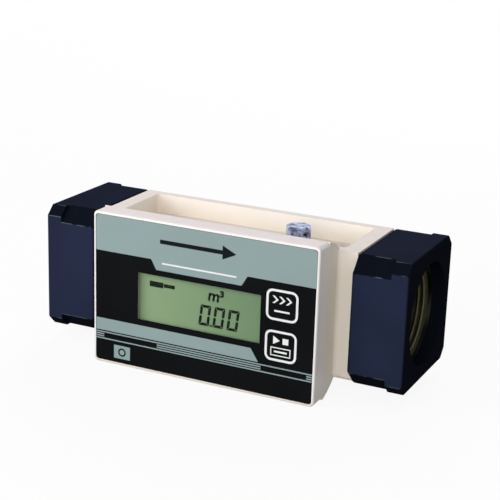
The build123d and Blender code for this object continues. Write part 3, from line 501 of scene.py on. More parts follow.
@dataclass(frozen=True)
class DisplayFinish:
    """Reflective display glass: grey-green, lighter on the side that the light comes from.

    Attributes:
        name: The material's name.
        bright, dim: Colours at the left and right ends.
        left, right: X where the glass starts and ends, in metres.
        patches: Uneven patches per metre.
        unevenness: How far a patch shifts the colour along.
        roughness: Roughness of the glass behind its polish.
        coat, coat_roughness: Weight and roughness of the polish.
    """

    name: str
    bright: Colour
    dim: Colour
    left: float
    right: float
    patches: float = 60.0
    unevenness: float = 0.14
    roughness: float = 0.28
    coat: float = 0.15
    coat_roughness: float = 0.05

    def material(self) -> Material:
        """Build the material with its smooth change of colour along the glass."""
        made = bpy.data.materials.new(self.name)
        made.use_nodes = True
        tree = made.node_tree
        place = add(tree, "TexCoord").outputs["Object"]
        axes = add(tree, "SeparateXYZ", {"Vector": place})
        along = ramp(tree, axes.outputs["X"], (self.left, self.right))
        uneven = reckon(tree, "MULTIPLY_ADD", cloud(tree, self.patches), self.unevenness, along)
        values = {
            "Base Color": mix(tree, uneven, self.bright, self.dim), "Roughness": self.roughness,
            "Specular IOR Level": 0.0, "Coat Weight": self.coat, "Coat Roughness": self.coat_roughness,
        }
        feed(tree, tree.nodes["Principled BSDF"], values)
        return made


# The recess colour is painted shade in corners and recesses; the dust is partly a painted top light on faces
# that look up.
IVORY = Finish(
    "ivory_moulding", srgb(244, 237, 229), srgb(248, 242, 235), smooth=0.4, rough=0.5,
    drift_scale=18.0, grain_scale=3200.0, grain_depth=0.000006, coat=0.1, coat_roughness=0.3, dust_and_top_light=0.7,
    specular=0.15, recess_shade=srgb(238, 227, 205),
)
# The recess colour is painted shade in corners and recesses; the dust is partly a painted top light on faces
# that look up.
COVER_IVORY = Finish(
    "ivory_cover_moulding", srgb(247, 242, 240), srgb(250, 246, 245), smooth=0.36, rough=0.46,
    drift_scale=18.0, grain_scale=3200.0, grain_depth=0.000005, coat=0.1, coat_roughness=0.3, dust_and_top_light=0.75,
    specular=0.15, recess_shade=srgb(228, 214, 186),
)
# The deep colour is painted shade on chamfers, end faces, the bore and partly the top; the worn colour is an
# edge line that is partly rubbed wear and partly a painted highlight.
NAVY = Finish(
    "sprayed_navy", srgb(32, 38, 58), srgb(38, 45, 68), smooth=0.44, rough=0.54,
    drift_scale=22.0, grain_scale=2600.0, grain_depth=0.00002, specular=0.0, coat=0.04, coat_roughness=0.35,
    worn_highlight=srgb(96, 100, 110), wear_and_highlight=0.75, shade_tone=srgb(16, 20, 30),
)
# Olive passivate, its colours kept far darker than bare metal as painted shade for the dim bore.
PASSIVATED = Finish(
    "passivated_socket_painted_shade", srgb(56, 58, 46), srgb(72, 74, 58), smooth=0.3, rough=0.42,
    metallic=1.0, drift_scale=90.0, grain_scale=1500.0, grain_depth=0.000008, turned=True,
)
# Olive passivate on the ridge, its colours kept dark as painted shade for the dim bore; the crest colour is
# a painted highlight.
THREAD = Finish(
    "passivated_thread_painted_shade", srgb(48, 48, 36), srgb(66, 64, 48), smooth=0.34, rough=0.46,
    drift_scale=260.0, grain_scale=1500.0, grain_depth=0.000006, turned=True, specular=0.1,
    crest=srgb(134, 128, 96),
)
FILM_BLACK = Finish(
    "panel_black_film", srgb(13, 15, 17), srgb(16, 18, 20), smooth=0.4, rough=0.46,
    grain_scale=4200.0, grain_depth=0.000003, specular=0.0, coat=0.06, coat_roughness=0.3,
)
FILM_GREY = Finish(
    "panel_grey_ink", srgb(144, 163, 164), srgb(148, 167, 168), smooth=0.42, rough=0.48,
    grain_scale=4200.0, grain_depth=0.000003, specular=0.0, coat=0.06, coat_roughness=0.3,
)
FILM_WHITE = Finish(
    "panel_white_ink", srgb(236, 238, 238), srgb(242, 244, 244), smooth=0.42, rough=0.48,
    grain_scale=4200.0, grain_depth=0.000003, specular=0.2,
)
INK_BLACK = Finish(
    "panel_black_ink", srgb(20, 26, 28), srgb(24, 30, 32), smooth=0.42, rough=0.48,
    grain_scale=4200.0, grain_depth=0.000003, specular=0.0, coat=0.06, coat_roughness=0.3,
)
SEGMENT = Finish(
    "display_segment", srgb(20, 30, 25), srgb(25, 36, 30), smooth=0.3, rough=0.36,
    grain_scale=3000.0, grain_depth=0.000001, specular=0.0, coat=0.1,
)
WINDOW = Finish(
    "moulded_window", srgb(8, 10, 9), srgb(10, 12, 11), smooth=0.03, rough=0.06,
    grain_scale=800.0, grain_depth=0.000001, alpha=0.08,
)
# Painted reflections: patches of near-black blue and bright blue-white stand in for the dark and light
# surroundings that the plated metal mirrors.
ZINC = Finish(
    "zinc_plate_painted_reflections", srgb(14, 18, 62), srgb(196, 212, 255), smooth=0.14, rough=0.3,
    metallic=1.0, drift_scale=400.0, grain_scale=5000.0, grain_depth=0.000004,
)
STEEL = Finish(
    "ground_steel", srgb(188, 190, 194), srgb(204, 206, 210), smooth=0.2, rough=0.3,
    metallic=1.0, drift_scale=120.0, grain_scale=4200.0, grain_depth=0.000003, turned=True,
)
ALUMINIUM = Finish(
    "turned_aluminium", srgb(200, 202, 206), srgb(212, 214, 218), smooth=0.3, rough=0.42,
    metallic=1.0, drift_scale=60.0, grain_scale=2400.0, grain_depth=0.000006, turned=True,
)
BRASS = Finish(
    "pressed_brass", srgb(196, 160, 84), srgb(206, 172, 96), smooth=0.25, rough=0.36,
    metallic=1.0, drift_scale=150.0, grain_scale=5000.0, grain_depth=0.000003,
)
GUIDE_PLASTIC = Finish(
    "guide_moulding", srgb(196, 192, 180), srgb(204, 200, 190), smooth=0.38, rough=0.48,
    grain_scale=3000.0, grain_depth=0.000006,
)
ROTOR_PLASTIC = Finish(
    "rotor_moulding", srgb(232, 232, 228), srgb(238, 238, 234), smooth=0.32, rough=0.4,
    grain_scale=4000.0, grain_depth=0.000003,
)
BLACK_PLASTIC = Finish(
    "black_moulding", srgb(20, 20, 22), srgb(26, 26, 28), smooth=0.4, rough=0.52,
    grain_scale=3000.0, grain_depth=0.000008, specular=0.25,
)
RUBBER = Finish(
    "nitrile_seal", srgb(20, 20, 20), srgb(27, 27, 27), smooth=0.6, rough=0.72,
    grain_scale=3500.0, grain_depth=0.00001,
)
BOARD = Finish(
    "solder_mask", srgb(16, 82, 44), srgb(22, 98, 54), smooth=0.28, rough=0.36,
    drift_scale=400.0, grain_scale=900.0, grain_depth=0.00002, coat=0.3,
)
CELL = Finish(
    "cell_sleeve", srgb(62, 92, 150), srgb(70, 100, 160), smooth=0.25, rough=0.34,
    grain_scale=2500.0, grain_depth=0.000003,
)
MAGNET = Finish(
    "bonded_magnet", srgb(40, 40, 42), srgb(50, 50, 52), smooth=0.45, rough=0.6,
    grain_scale=5000.0, grain_depth=0.00001,
)


@dataclass
class Sheet2D:
    """Flat inks and marks in a plane that faces the viewer, drawn as thin plates.

    Attributes:
        front: Distance of the plane in front of the flow axis, in metres.
        thickness: Thickness of the plates.
        sink: How far the plates reach back into what carries them.
        overprint: Thickness of a second ink on top of the plates.
    """

    front: float
    thickness: float = 0.03 * MM
    sink: float = 0.02 * MM
    overprint: float = 0.02 * MM

    def above(self) -> "Sheet2D":
        """Return the plane for a second ink on top of this one's plates."""
        return Sheet2D(front=self.front + self.thickness, thickness=self.overprint)

    def plate(self, name: str, outlines: list[Outline], finish: Material) -> Piece:
        """Make one piece of thin plates from outlines in millimetres.

        Args:
            name: The piece's name.
            outlines: Each outline's (x from the middle, z) corners, in millimetres.
            finish: The material.

        Returns:
            The piece.
        """
        shape = bmesh.new()
        for outline in outlines:
            corners = [shape.verts.new(self.place(x, z)) for x, z in outline]
            shape.faces.new(corners)
        return self.thicken(shape, name, finish)

    def place(self, x: float, z: float) -> Vector:
        """Return the point of the plane at x from the middle and height z, both in millimetres."""
        return Vector((MID_X + x * MM, -self.front + self.sink, z * MM))

    def thicken(self, shape: Shape, name: str, finish: Material) -> Piece:
        """Extrude every face towards the viewer and finish the piece.

        Args:
            shape: Flat faces in the plane.
            name: The piece's name.
            finish: The material.

        Returns:
            The piece.
        """
        raised = bmesh.ops.extrude_face_region(shape, geom=shape.faces[:], use_keep_orig=True)
        moved = [part for part in raised["geom"] if isinstance(part, bmesh.types.BMVert)]
        bmesh.ops.translate(shape, verts=moved, vec=(0, -self.thickness - self.sink, 0))
        bmesh.ops.recalc_face_normals(shape, faces=shape.faces[:])
        return finish_piece(shape, name, finish)


def finish_piece(shape: Shape, name: str, finish: Material, smooth: bool = False) -> Piece:
    """Write a bmesh to a new object at the origin.

    Args:
        shape: The bmesh, which is freed.
        name: The piece's name.
        finish: The material.
        smooth: True to shade the faces smooth.

    Returns:
        The new object.
    """
    mesh = bpy.data.meshes.new(name)
    shape.to_mesh(mesh)
    shape.free()
    mesh.materials.append(finish)
    if smooth:
        mesh.polygons.foreach_set("use_smooth", [True] * len(mesh.polygons))
    piece = bpy.data.objects.new(name, mesh)
    bpy.context.scene.collection.objects.link(piece)
    return piece


def rounded_face(sheet: Sheet2D, centre: Point2, size: Point2, radius: float) -> Shape:
    """Draw a flat rectangle with round corners.

    Args:
        sheet: The plane.
        centre, size: Middle and size of the rectangle, in millimetres.
        radius: Radius of the corners, in millimetres.

    Returns:
        A bmesh with the one face.
    """
    half_x, half_z = size[0] / 2, size[1] / 2
    shape = bmesh.new()
    ways = ((1, 1), (-1, 1), (-1, -1), (1, -1))
    places = [sheet.place(centre[0] + a * half_x, centre[1] + b * half_z) for a, b in ways]
    corners = [shape.verts.new(place) for place in places]
    shape.faces.new(corners)
    bmesh.ops.bevel(
        shape, geom=corners, offset=radius * MM, offset_type="OFFSET", segments=6, profile=0.5,
        affect="VERTICES", material=-1,
    )
    return shape


def keep_rim(shape: Shape, width: float) -> None:
    """Cut a flat shape down to a rim.

    Args:
        shape: The flat shape.
        width: Width of the rim, in metres.
    """
    rim = bmesh.ops.inset_region(
        shape, faces=shape.faces[:], thickness=width, use_boundary=True, use_even_offset=True
    )["faces"]
    inner = [face for face in shape.faces if face not in rim]
    bmesh.ops.delete(shape, geom=inner, context="FACES")


@dataclass
class FrontPanel:
    """Printed graphics of the front panel: grey bands, pinstripes and a corner label.

    Attributes:
        effects: The shared node groups.
        half_width, half_height: Half sizes of the printed area, in millimetres.
        corner: How much the printed area's top corners take off each edge.
        corner_cut: Share of that by which a corner's middle point stands in.
        band_lower: Height of the top band's lower edge.
        tab_lower: Height of the lower edge of the tab in the middle of the top band.
        tab_left, tab_right: X of the tab's upper corners.
        tab_slope: How far its sides lean in.
        low_band: Lowest and highest edge of the lower band.
        low_band_end: X of the lower band's right end, at its top and at its bottom.
        stripe_count: Number of pinstripes.
        stripe_top: Height of the first pinstripe.
        stripe_pitch, stripe_width: Spacing and width of the pinstripes.
        boxes: X ranges of the two plain boxes that interrupt the middle pinstripes.
        label: Middle x, middle z and width of the corner label.
        label_rise: Height of the label, in its widths.
        ring_radius, ring_line: Radius and line of the ring on it, in its widths.
        arrow: Left end, right end and height of the flow arrow.
        arrow_shaft, arrow_head: Half widths of its shaft and of its head.
        arrow_reach: Length of its head.
        rule: Left, right, lower and upper edge of the white rule.
        sheet: The plane of the first inks.
    """

    effects: SharedEffects
    half_width: float = 51.1
    half_height: float = 32.8
    corner: float = 1.4
    corner_cut: float = 0.3
    band_lower: float = 16.9
    tab_lower: float = 12.5
    tab_left: float = -24.2
    tab_right: float = 20.8
    tab_slope: float = 2.6
    low_band: Point2 = (-19.2, -13.7)
    low_band_end: Point2 = (23.2, 26.8)
    stripe_count: int = 4
    stripe_top: float = -19.75
    stripe_pitch: float = 1.0
    stripe_width: float = 0.55
    boxes: tuple[Point2, Point2] = ((-47.2, -21.0), (28.0, 48.6))
    label: tuple[float, float, float] = (-38.2, -28.0, 8.0)
    label_rise: float = 0.75
    ring_radius: float = 0.24
    ring_line: float = 0.09
    arrow: tuple[float, float, float] = (-20.0, 15.6, 25.2)
    arrow_shaft: float = 0.9
    arrow_head: float = 3.0
    arrow_reach: float = 6.4
    rule: Rect = (-19.0, 15.8, 15.4, 16.1)
    sheet: Sheet2D = field(init=False)

    def __post_init__(self) -> None:
        """Put the inks on the panel's front face."""
        self.sheet = Sheet2D(front=-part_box("front_panel")[0].y)

    def build(self) -> None:
        """Print every ink of the panel."""
        grey = FILM_GREY.material(self.effects)
        self._keep(self.sheet.plate("panel_top_band", [self._top_band()], grey))
        self._keep(self.sheet.plate("panel_lower_band", [self._lower_band()], grey))
        self._keep(self.sheet.plate("panel_pinstripes", self._stripes(), grey))
        self._keep(self._corner_label(grey))
        self._keep(self._label_ring())
        self._keep(self._flow_arrow())
        self._keep(self._rule())

    @staticmethod
    def _keep(piece: Piece) -> None:
        """Let a print ride with the meter."""
        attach(piece, Body.METER.value)
        LOG.info("printed %s", piece.name)

    def _top_band(self) -> Outline:
        """Return the outline of the top band with its tab."""
        cut = self.corner * self.corner_cut
        return [
            (-self.half_width, self.band_lower),
            (self.tab_left, self.band_lower),
            (self.tab_left + self.tab_slope, self.tab_lower),
            (self.tab_right - self.tab_slope, self.tab_lower),
            (self.tab_right, self.band_lower),
            (self.half_width, self.band_lower),
            (self.half_width, self.half_height - self.corner),
            (self.half_width - cut, self.half_height - cut),
            (self.half_width - self.corner, self.half_height),
            (-self.half_width + self.corner, self.half_height),
            (-self.half_width + cut, self.half_height - cut),
            (-self.half_width, self.half_height - self.corner),
        ]

    def _lower_band(self) -> Outline:
        """Return the outline of the lower band with its slanted end."""
        low, high = self.low_band
        return [
            (-self.half_width, low),
            (self.low_band_end[1], low),
            (self.low_band_end[0], high),
            (-self.half_width, high),
        ]

    def _stripes(self) -> list[Outline]:
        """Return the outlines of the pinstripes: the outer two run through, the others stop at the boxes."""
        broken = [
            (-self.half_width, self.boxes[0][0]),
            (self.boxes[0][1], self.boxes[1][0]),
            (self.boxes[1][1], self.half_width),
        ]
        whole = [(-self.half_width, self.half_width)]
        outlines = []
        for index in range(self.stripe_count):
            high = self.stripe_top - index * self.stripe_pitch
            for left, right in whole if index in (0, self.stripe_count - 1) else broken:
                outlines.append(rectangle(left, right, high - self.stripe_width, high))
        return outlines

    def _corner_label(self, ink: Material) -> Piece:
        """Print the small square at the lower left."""
        x, z, size = self.label
        half = size / 2
        rise = half * self.label_rise
        outline = rectangle(x - half, x + half, z - rise, z + rise)
        return self.sheet.plate("panel_corner_label", [outline], ink)

    def _label_ring(self) -> Piece:
        """Print a plain ring on the small square."""
        x, z, size = self.label
        above = self.sheet.above()
        shape = bmesh.new()
        turn = Matrix.Translation(above.place(x, z)) @ Matrix.Rotation(math.radians(90), 4, "X")
        radius = size * self.ring_radius * MM
        bmesh.ops.create_circle(shape, cap_ends=True, radius=radius, segments=32, matrix=turn)
        keep_rim(shape, size * self.ring_line * MM)
        return above.thicken(shape, "panel_label_ring", INK_BLACK.material(self.effects))

    def _flow_arrow(self) -> Piece:
        """Print a plain arrow along the flow in the top band."""
        left, right, height = self.arrow
        shaft, head, reach = self.arrow_shaft, self.arrow_head, self.arrow_reach
        outline = [
            (left, height - shaft),
            (right - reach, height - shaft),
            (right - reach, height - head),
            (right, height),
            (right - reach, height + head),
            (right - reach, height + shaft),
            (left, height + shaft),
        ]
        return self.sheet.above().plate("panel_flow_arrow", [outline], INK_BLACK.material(self.effects))

    def _rule(self) -> Piece:
        """Print the thin white rule in the tab."""
        outline = rectangle(*self.rule)
        return self.sheet.above().plate("panel_rule", [outline], FILM_WHITE.material(self.effects))


def rectangle(left: float, right: float, low: float, high: float) -> Outline:
    """Return the outline of an upright rectangle."""
    return [(left, low), (right, low), (right, high), (left, high)]


@dataclass
class PushKey:
    """White outline and plain symbols on one push key.

    Attributes:
        effects: The shared node groups.
        node: The key's node.
        body: The body that the key rides on.
        outline: Width and height of the outline, in millimetres.
        line: Width of its line.
        corner: Radius of its corners.
        chevron: Corners of a chevron, from its left edge and the key's middle.
        chevron_half: Half its width.
        chevron_steps: Places of the chevrons' middles.
        rate_bar: Half width of the bar under them, and how far below the middle its edges are.
        triangle: Corners of the start mark, from the key's middle.
        square: Left, right, lower and upper edge of the stop mark, from the middle.
        box: Half width of the box, how far below the middle its edges are, and its line.
        box_bar: Half width of the bar in it, and how far below the middle its edges are.
    """

    effects: SharedEffects
    node: str
    body: Body
    outline: Point2 = (14.2, 13.3)
    line: float = 1.0
    corner: float = 2.9
    chevron: tuple[Point2, ...] = ((0.0, 0.6), (1.0, 0.6), (2.8, 2.2), (1.0, 3.8), (0.0, 3.8), (1.8, 2.2))
    chevron_half: float = 1.4
    chevron_steps: tuple[float, ...] = (-3.0, 0.0, 3.0)
    rate_bar: tuple[float, float, float] = (3.4, 3.0, 2.2)
    triangle: tuple[Point2, ...] = ((-3.4, 0.6), (-0.4, 2.4), (-3.4, 4.2))
    square: Rect = (0.8, 3.4, 1.1, 3.7)
    box: tuple[float, float, float, float] = (4.5, 4.4, 0.6, 0.45)
    box_bar: tuple[float, float, float] = (2.9, 2.9, 2.1)

    def build(self) -> None:
        """Print the outline and the symbols."""
        low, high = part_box(self.node)
        sheet = Sheet2D(front=-low.y)
        centre = ((low.x + high.x) / 2 / MM - MID_X / MM, (low.z + high.z) / 2 / MM)
        white = FILM_WHITE.material(self.effects)
        shape = rounded_face(sheet, centre, self.outline, self.corner)
        keep_rim(shape, self.line * MM)
        self._keep(sheet.thicken(shape, f"{self.node}_outline", white))
        marks = self._rate_marks(centre) if self.body is Body.RATE_KEY else self._start_marks(centre)
        self._keep(sheet.plate(f"{self.node}_symbols", marks, white))

    def _keep(self, piece: Piece) -> None:
        """Let a print ride with the key."""
        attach(piece, self.body.value)
        LOG.info("printed %s", piece.name)

    def _rate_marks(self, centre: Point2) -> list[Outline]:
        """Return three chevrons over a bar, for the rate of flow."""
        x, z = centre
        marks = []
        for step in self.chevron_steps:
            left = x + step - self.chevron_half
            marks.append([(left + across, z + up) for across, up in self.chevron])
        marks.append(self._bar(centre, self.rate_bar))
        return marks

    def _start_marks(self, centre: Point2) -> list[Outline]:
        """Return a start triangle and a stop square over an outlined box with a bar in it."""
        x, z = centre
        reach, below_low, below_high, line = self.box
        low, high = z - below_low, z - below_high
        left, right, bottom, top = self.square
        return [
            [(x + across, z + up) for across, up in self.triangle],
            rectangle(x + left, x + right, z + bottom, z + top),
            rectangle(x - reach, x + reach, high - line, high),
            rectangle(x - reach, x + reach, low, low + line),
            rectangle(x - reach, x - reach + line, low + line, high - line),
            rectangle(x + reach - line, x + reach, low + line, high - line),
            self._bar(centre, self.box_bar),
        ]

    @staticmethod
    def _bar(centre: Point2, bar: tuple[float, float, float]) -> Outline:
        """Return the outline of a bar below the key's middle.

        Args:
            centre: The key's middle.
            bar: Half its width, and how far below the middle its edges are.

        Returns:
            The outline.
        """
        x, z = centre
        half, below_low, below_high = bar
        return rectangle(x - half, x + half, z - below_low, z - below_high)


@dataclass
class LiquidCrystal:
    """Segments on the display glass: a charge bar, the unit and the plain number 0.00.

    Attributes:
        effects: The shared node groups.
        digit_lefts: X of the left edge of each digit, in millimetres.
        digit_low: Height of the digits' lower edge.
        digit_width, digit_height: Size of a digit.
        stroke: Width of a segment.
        lean: How far a digit's top leans to the right.
        gap: Gap between segments.
        notch: How far an upright segment's end corners stand back, in strokes.
        point_gap: How far the decimal point starts before the second digit.
        point_size: Width and height of the point.
        charge_bars: Left, right, lower and upper edge of each part of the charge bar.
        unit_size, unit_place: Size and place of the unit's letters.
        unit_spacing, unit_lean, unit_bold: Their spacing, their lean and how much wider their strokes are.
        sheet: The plane of the segments.
    """

    effects: SharedEffects
    digit_lefts: tuple[float, ...] = (-2.6, 4.0, 10.6)
    digit_low: float = -9.0
    digit_width: float = 5.0
    digit_height: float = 9.2
    stroke: float = 1.25
    lean: float = 1.1
    gap: float = 0.12
    notch: float = 0.3
    point_gap: float = 1.15
    point_size: float = 0.9
    charge_bars: tuple[Rect, ...] = ((-26.1, -19.5, 3.9, 6.4), (-19.3, -14.0, 4.4, 6.0))
    unit_size: float = 7.2
    unit_place: Point2 = (1.5, 2.5)
    unit_spacing: float = 0.88
    unit_lean: float = 0.12
    unit_bold: float = 0.17
    sheet: Sheet2D = field(init=False)

    def __post_init__(self) -> None:
        """Put the segments on the glass's front face."""
        low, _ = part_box("lcd_glass")
        self.sheet = Sheet2D(front=-low.y, thickness=0.02 * MM)

    def build(self) -> None:
        """Draw the segments and the unit."""
        dark = SEGMENT.material(self.effects)
        outlines = [outline for left in self.digit_lefts for outline in self._zero(left)]
        point = self.digit_lefts[1] - self.point_gap
        size = self.point_size
        outlines.append(rectangle(point, point + size, self.digit_low, self.digit_low + size))
        self._keep(self.sheet.plate("display_digits", outlines, dark))
        bars = [rectangle(*bar) for bar in self.charge_bars]
        self._keep(self.sheet.plate("display_charge_bar", bars, dark))
        self._keep(self._unit(dark))

    def _keep(self, piece: Piece) -> None:
        """Let the segments ride with the meter."""
        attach(piece, Body.METER.value)
        LOG.info("drew %s", piece.name)

    def _zero(self, left: float) -> list[Outline]:
        """Return the six lit segments of a 0 whose left edge is given."""
        width, height, stroke, gap = self.digit_width, self.digit_height, self.stroke, self.gap
        middle_end = height / 2 + gap
        shoulder = middle_end + stroke * self.notch
        across = [(gap, 0), (width - gap, 0), (width - stroke - gap, stroke), (stroke + gap, stroke)]
        upright = [
            (0, height - gap), (0, shoulder), (stroke / 2, middle_end),
            (stroke, shoulder), (stroke, height - stroke - gap),
        ]
        bars = [across]
        for bar in (upright, [(width - x, z) for x, z in upright]):
            bars += [bar, [(x, height - z) for x, z in bar]]
        bars.append([(x, height - z) for x, z in across])
        return [[(left + x + self.lean * z / height, self.digit_low + z) for x, z in bar] for bar in bars]

    def _unit(self, dark: Material) -> Piece:
        """Write the unit of volume over the number."""
        letter = bpy.data.curves.new("display_unit_letter", "FONT")
        letter.body = "m³"
        letter.size = self.unit_size * MM
        letter.space_character = self.unit_spacing
        letter.extrude = self.sheet.thickness
        letter.shear = self.unit_lean
        letter.offset = self.unit_bold * MM
        writing = bpy.data.objects.new("display_unit_writing", letter)
        bpy.context.scene.collection.objects.link(writing)
        bpy.context.view_layer.update()
        mesh = bpy.data.meshes.new_from_object(writing.evaluated_get(bpy.context.evaluated_depsgraph_get()))
        bpy.data.objects.remove(writing)
        place = self.sheet.place(*self.unit_place)
        mesh.transform(Matrix.Translation(place) @ Matrix.Rotation(math.radians(90), 4, "X"))
        mesh.materials.clear()
        mesh.materials.append(dark)
        piece = bpy.data.objects.new("display_unit", mesh)
        bpy.context.scene.collection.objects.link(piece)
        return piece


@dataclass
class PipeThread:
    """Helical ridge of the pipe thread inside one socket.

    Attributes:
        effects: The shared node groups.
        name: The piece's name.
        mount: X of the port's mount, where the full thread starts, in metres.
        inward: 1 or -1, the way into the socket along X.
        lead: How far the ridge starts before the mount, in the socket's wider mouth.
        foot: Radius that the ridge reaches out to, just inside the wall of that mouth.
        root: Radius of the threaded wall.
        crest: Radius of the ridge's crest.
        pitch: Pitch of the thread.
        length: Length of the thread.
        half_foot, half_tip: Half widths of the ridge at its foot and at its crest, in pitches.
        steps: Steps in one turn.
    """

    effects: SharedEffects
    name: str
    mount: float
    inward: int
    lead: float = 2.8 * MM
    foot: float = 21.65 * MM
    root: float = 20.955 * MM
    crest: float = THREAD_CREST
    pitch: float = 2.309 * MM
    length: float = 14.5 * MM
    half_foot: float = 0.46
    half_tip: float = 0.09
    steps: int = 96

    def build(self) -> None:
        """Sweep the ridge's section along its helix."""
        shape = bmesh.new()
        turns = (self.lead + self.length - self.pitch) / self.pitch
        count = round(turns * self.steps)
        base, tip = self.pitch * self.half_foot, self.pitch * self.half_tip
        section = [
            (0.0, self.foot), (0.0, self.root), (base - tip, self.crest),
            (base + tip, self.crest), (2 * base, self.root), (2 * base, self.foot),
        ]
        start = self.mount - self.inward * self.lead
        points = [shape.verts.new((start + self.inward * along, 0.0, radius)) for along, radius in section]
        edges = [shape.edges.new(pair) for pair in zip(points, points[1:] + points[:1])]
        bmesh.ops.spin(
            shape, geom=points + edges, cent=(0, 0, 0), axis=(1, 0, 0), angle=math.tau * turns, steps=count,
            dvec=(self.inward * self.pitch / self.steps, 0, 0),
        )
        ends = [edge for edge in shape.edges if edge.is_boundary]
        bmesh.ops.holes_fill(shape, edges=ends, sides=len(section))
        bmesh.ops.recalc_face_normals(shape, faces=shape.faces[:])
        piece = finish_piece(shape, self.name, THREAD.material(self.effects))
        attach(piece, Body.METER.value)
        LOG.info("cut %s", piece.name)


class Wardrobe:
    """Gives every node of the frame its finish."""

    FINISHES: dict[str, Finish] = {
        "ivory_case": IVORY,
        "navy_coat": NAVY,
        "yellow_passivated_metal": PASSIVATED,
        "screw_steel": STEEL,
        "seal_rubber": RUBBER,
        "panel_film": FILM_BLACK,
        "key_plastic": FILM_BLACK,
        "clear_window": WINDOW,
        "black_plastic": BLACK_PLASTIC,
        "board_green": BOARD,
        "cell_can": CELL,
        "bright_steel": STEEL,
        "pipe_aluminium": ALUMINIUM,
        "guide_plastic": GUIDE_PLASTIC,
        "rotor_plastic": ROTOR_PLASTIC,
        "magnet_black": MAGNET,
        "zinc_plated_steel": ZINC,
        "brass_cage": BRASS,
    }
    OWN_FINISHES: dict[str, Finish] = {"display_cover": COVER_IVORY}

    def __init__(self, effects: SharedEffects) -> None:
        """Keep the shared node groups."""
        self.effects = effects

    def dress(self) -> None:
        """Assign a finish to each node's material slots."""
        low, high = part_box("lcd_glass")
        glass = DisplayFinish("display_glass", srgb(166, 194, 150), srgb(133, 166, 126), low.x, high.x)
        display = glass.material()
        for part in frame["record"]["subparts"]:
            piece = frame["nodes"][part["node"]]
            finish = self.OWN_FINISHES.get(part["node"], self.FINISHES.get(part["material_slot"]))
            material = finish.material(self.effects) if finish else display
            for slot in piece.material_slots:
                slot.material = material
        LOG.info("dressed %d nodes", len(frame["nodes"]))


@dataclass(frozen=True)
class SoftBox:
    """One square lamp that faces the meter.

    Attributes:
        name: The lamp's name.
        place: Its place from the meter's middle, in metres.
        size: Its side, in metres.
        power: Its power, in watts.
        mirrored: False for a lamp that gloss doesn't show.
    """

    name: str
    place: tuple[float, float, float]
    size: float
    power: float
    mirrored: bool = True

    def hang(self) -> None:
        """Hang the lamp and turn it to the meter."""
        data = bpy.data.lights.new(self.name, "AREA")
        data.shape = "SQUARE"
        data.size = self.size
        data.energy = self.power
        lamp = bpy.data.objects.new(self.name, data)
        lamp.location = Vector(self.place) + Vector((MID_X, 0, 0))
        lamp.rotation_mode = "QUATERNION"
        lamp.rotation_quaternion = Vector(self.place).to_track_quat("Z", "Y")
        lamp.visible_glossy = self.mirrored
        bpy.context.scene.collection.objects.link(lamp)


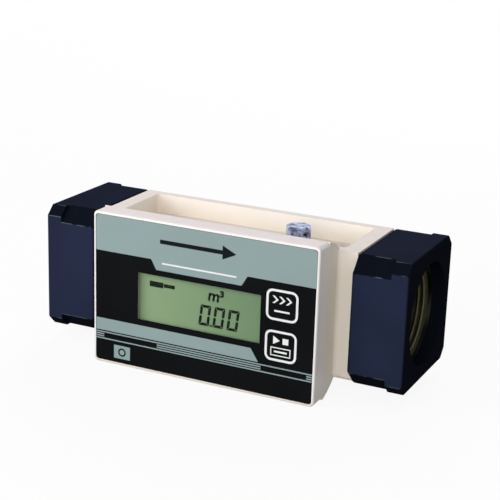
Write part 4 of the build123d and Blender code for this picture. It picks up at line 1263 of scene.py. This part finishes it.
@dataclass
class Studio:
    """Camera, floor and soft light.

    Attributes:
        camera_place: The camera's place from the meter's middle, in metres.
        azimuth, elevation, roll: The camera's angles, in degrees.
        lens, sensor: Focal length and width of the sensor, in millimetres.
        far: How far the camera sees, in metres.
        floor_gap: Gap between the meter's lowest point and the floor.
        floor_half: Half the floor's width.
        floor_tone, floor_shown: Colour of the floor for the light that it sends back, and where it shows.
        floor_rough, floor_specular: Roughness and specular level of the floor.
        floor_white: Share of plain white that shows on the floor round the meter, beside its lit surface.
        fade: Distances from the meter's middle at which the floor starts and ends its fade to plain white.
        world_light: Strength of the light from all round.
        world_tint: Colour of that light.
        lamps: The soft boxes.
    """

    camera_place: tuple[float, float, float] = (0.24365, -0.51059, 0.18857)
    azimuth: float = 25.3
    elevation: float = 17.14
    roll: float = 1.87
    lens: float = 97.2
    sensor: float = 36.0
    far: float = 50.0
    floor_gap: float = 0.0002
    floor_half: float = 12.0
    floor_tone: Colour = srgb(128, 128, 128)
    floor_shown: Colour = srgb(250, 250, 250)
    floor_rough: float = 0.9
    floor_specular: float = 0.1
    floor_white: float = 0.91
    fade: Point2 = (0.3, 1.2)
    world_light: float = 0.24
    world_tint: Colour = (1.0, 0.96, 0.87, 1.0)
    lamps: tuple[SoftBox, ...] = (
        SoftBox("front_light", (0.10, -1.05, 0.30), 0.9, 7.5),
        SoftBox("left_light", (-0.50, -0.42, 0.26), 0.4, 2.3),
        SoftBox("right_light", (0.75, -0.55, 0.35), 0.5, 1.0),
        SoftBox("back_light", (-0.10, 1.00, 0.75), 0.9, 9.0, mirrored=False),
    )

    def camera(self) -> None:
        """Set the camera at the photograph's viewpoint."""
        data = bpy.data.cameras.new("view")
        data.lens = self.lens
        data.sensor_width = self.sensor
        data.clip_end = self.far
        camera = bpy.data.objects.new("view", data)
        camera.matrix_world = (
            Matrix.Translation(Vector(self.camera_place) + Vector((MID_X, 0, 0)))
            @ Matrix.Rotation(math.radians(self.azimuth), 4, "Z")
            @ Matrix.Rotation(math.radians(90 - self.elevation), 4, "X")
            @ Matrix.Rotation(math.radians(self.roll), 4, "Z")
        )
        bpy.context.scene.collection.objects.link(camera)
        bpy.context.scene.camera = camera

    def floor(self) -> None:
        """Lay a plain pale floor that shows white, with the meter's soft shadow."""
        shape = bmesh.new()
        bmesh.ops.create_grid(shape, x_segments=1, y_segments=1, size=self.floor_half)
        bmesh.ops.translate(shape, verts=shape.verts[:], vec=(0, 0, CAD_BOX[0].z - self.floor_gap))
        floor = finish_piece(shape, "floor", self._floor_material())

    @staticmethod
    def _seen_directly(tree: Tree) -> Socket:
        """Return 1 for rays from the camera, in reflections and through glass, and 0 for other light.

        Args:
            tree: The tree that asks.

        Returns:
            The socket with the answer.
        """
        path = add(tree, "LightPath").outputs
        either = reckon(tree, "MAXIMUM", path["Is Camera Ray"], path["Is Glossy Ray"])
        return reckon(tree, "MAXIMUM", either, path["Is Transmission Ray"])

    def _floor_material(self) -> Material:
        """Return a pale matt floor that shows mostly white and keeps the meter's shadow."""
        made = bpy.data.materials.new("pale_floor")
        made.use_nodes = True
        tree = made.node_tree
        shader = tree.nodes["Principled BSDF"]
        seen = self._seen_directly(tree)
        tone = mix(tree, seen, self.floor_tone, self.floor_shown)
        matt = {"Base Color": tone, "Roughness": self.floor_rough, "Specular IOR Level": self.floor_specular}
        feed(tree, shader, matt)
        place = add(tree, "TexCoord").outputs["Object"]
        apart = add(tree, "VectorMath", {0: place, 1: (MID_X, 0.0, CAD_BOX[0].z)}, operation="DISTANCE")
        paler = ramp(tree, apart.outputs["Value"], self.fade, (self.floor_white, 1.0))
        white = add(tree, "Emission", {"Strength": 1.0}).outputs["Emission"]
        parts = {"Fac": product(tree, seen, paler), 1: shader.outputs["BSDF"], 2: white}
        blend = add(tree, "MixShader", parts)
        feed(tree, tree.nodes["Material Output"], {"Surface": blend.outputs["Shader"]})
        return made

    def world(self) -> None:
        """Light softly from all round, and show white to the camera and in reflections."""
        world = bpy.data.worlds.new("studio")
        bpy.context.scene.world = world
        world.use_nodes = True
        tree = world.node_tree
        seen = self._seen_directly(tree)
        colour = mix(tree, seen, self.world_tint, WHITE)
        strength = ramp(tree, seen, (0.0, 1.0), (self.world_light, 1.0))
        feed(tree, tree.nodes["Background"], {"Color": colour, "Strength": strength})

    def build(self) -> None:
        """Set up the whole studio."""
        bpy.context.scene.view_settings.view_transform = "Standard"
        self.camera()
        self.world()
        self.floor()
        for lamp in self.lamps:
            lamp.hang()
        LOG.info("studio is ready")


def main() -> None:
    """Build the studio, dress the frame and add the new pieces."""
    logging.basicConfig(level=logging.INFO, format="%(name)s: %(message)s")
    Studio().build()
    effects = SharedEffects()
    Wardrobe(effects).dress()
    FrontPanel(effects).build()
    PushKey(effects, "rate_key", Body.RATE_KEY).build()
    PushKey(effects, "start_key", Body.START_KEY).build()
    LiquidCrystal(effects).build()
    outlet_mouth = 2 * MID_X
    PipeThread(effects, "inlet_thread", 0.0, 1).build()
    PipeThread(effects, "outlet_thread", outlet_mouth, -1).build()


if __name__ == "__main__":
    main()
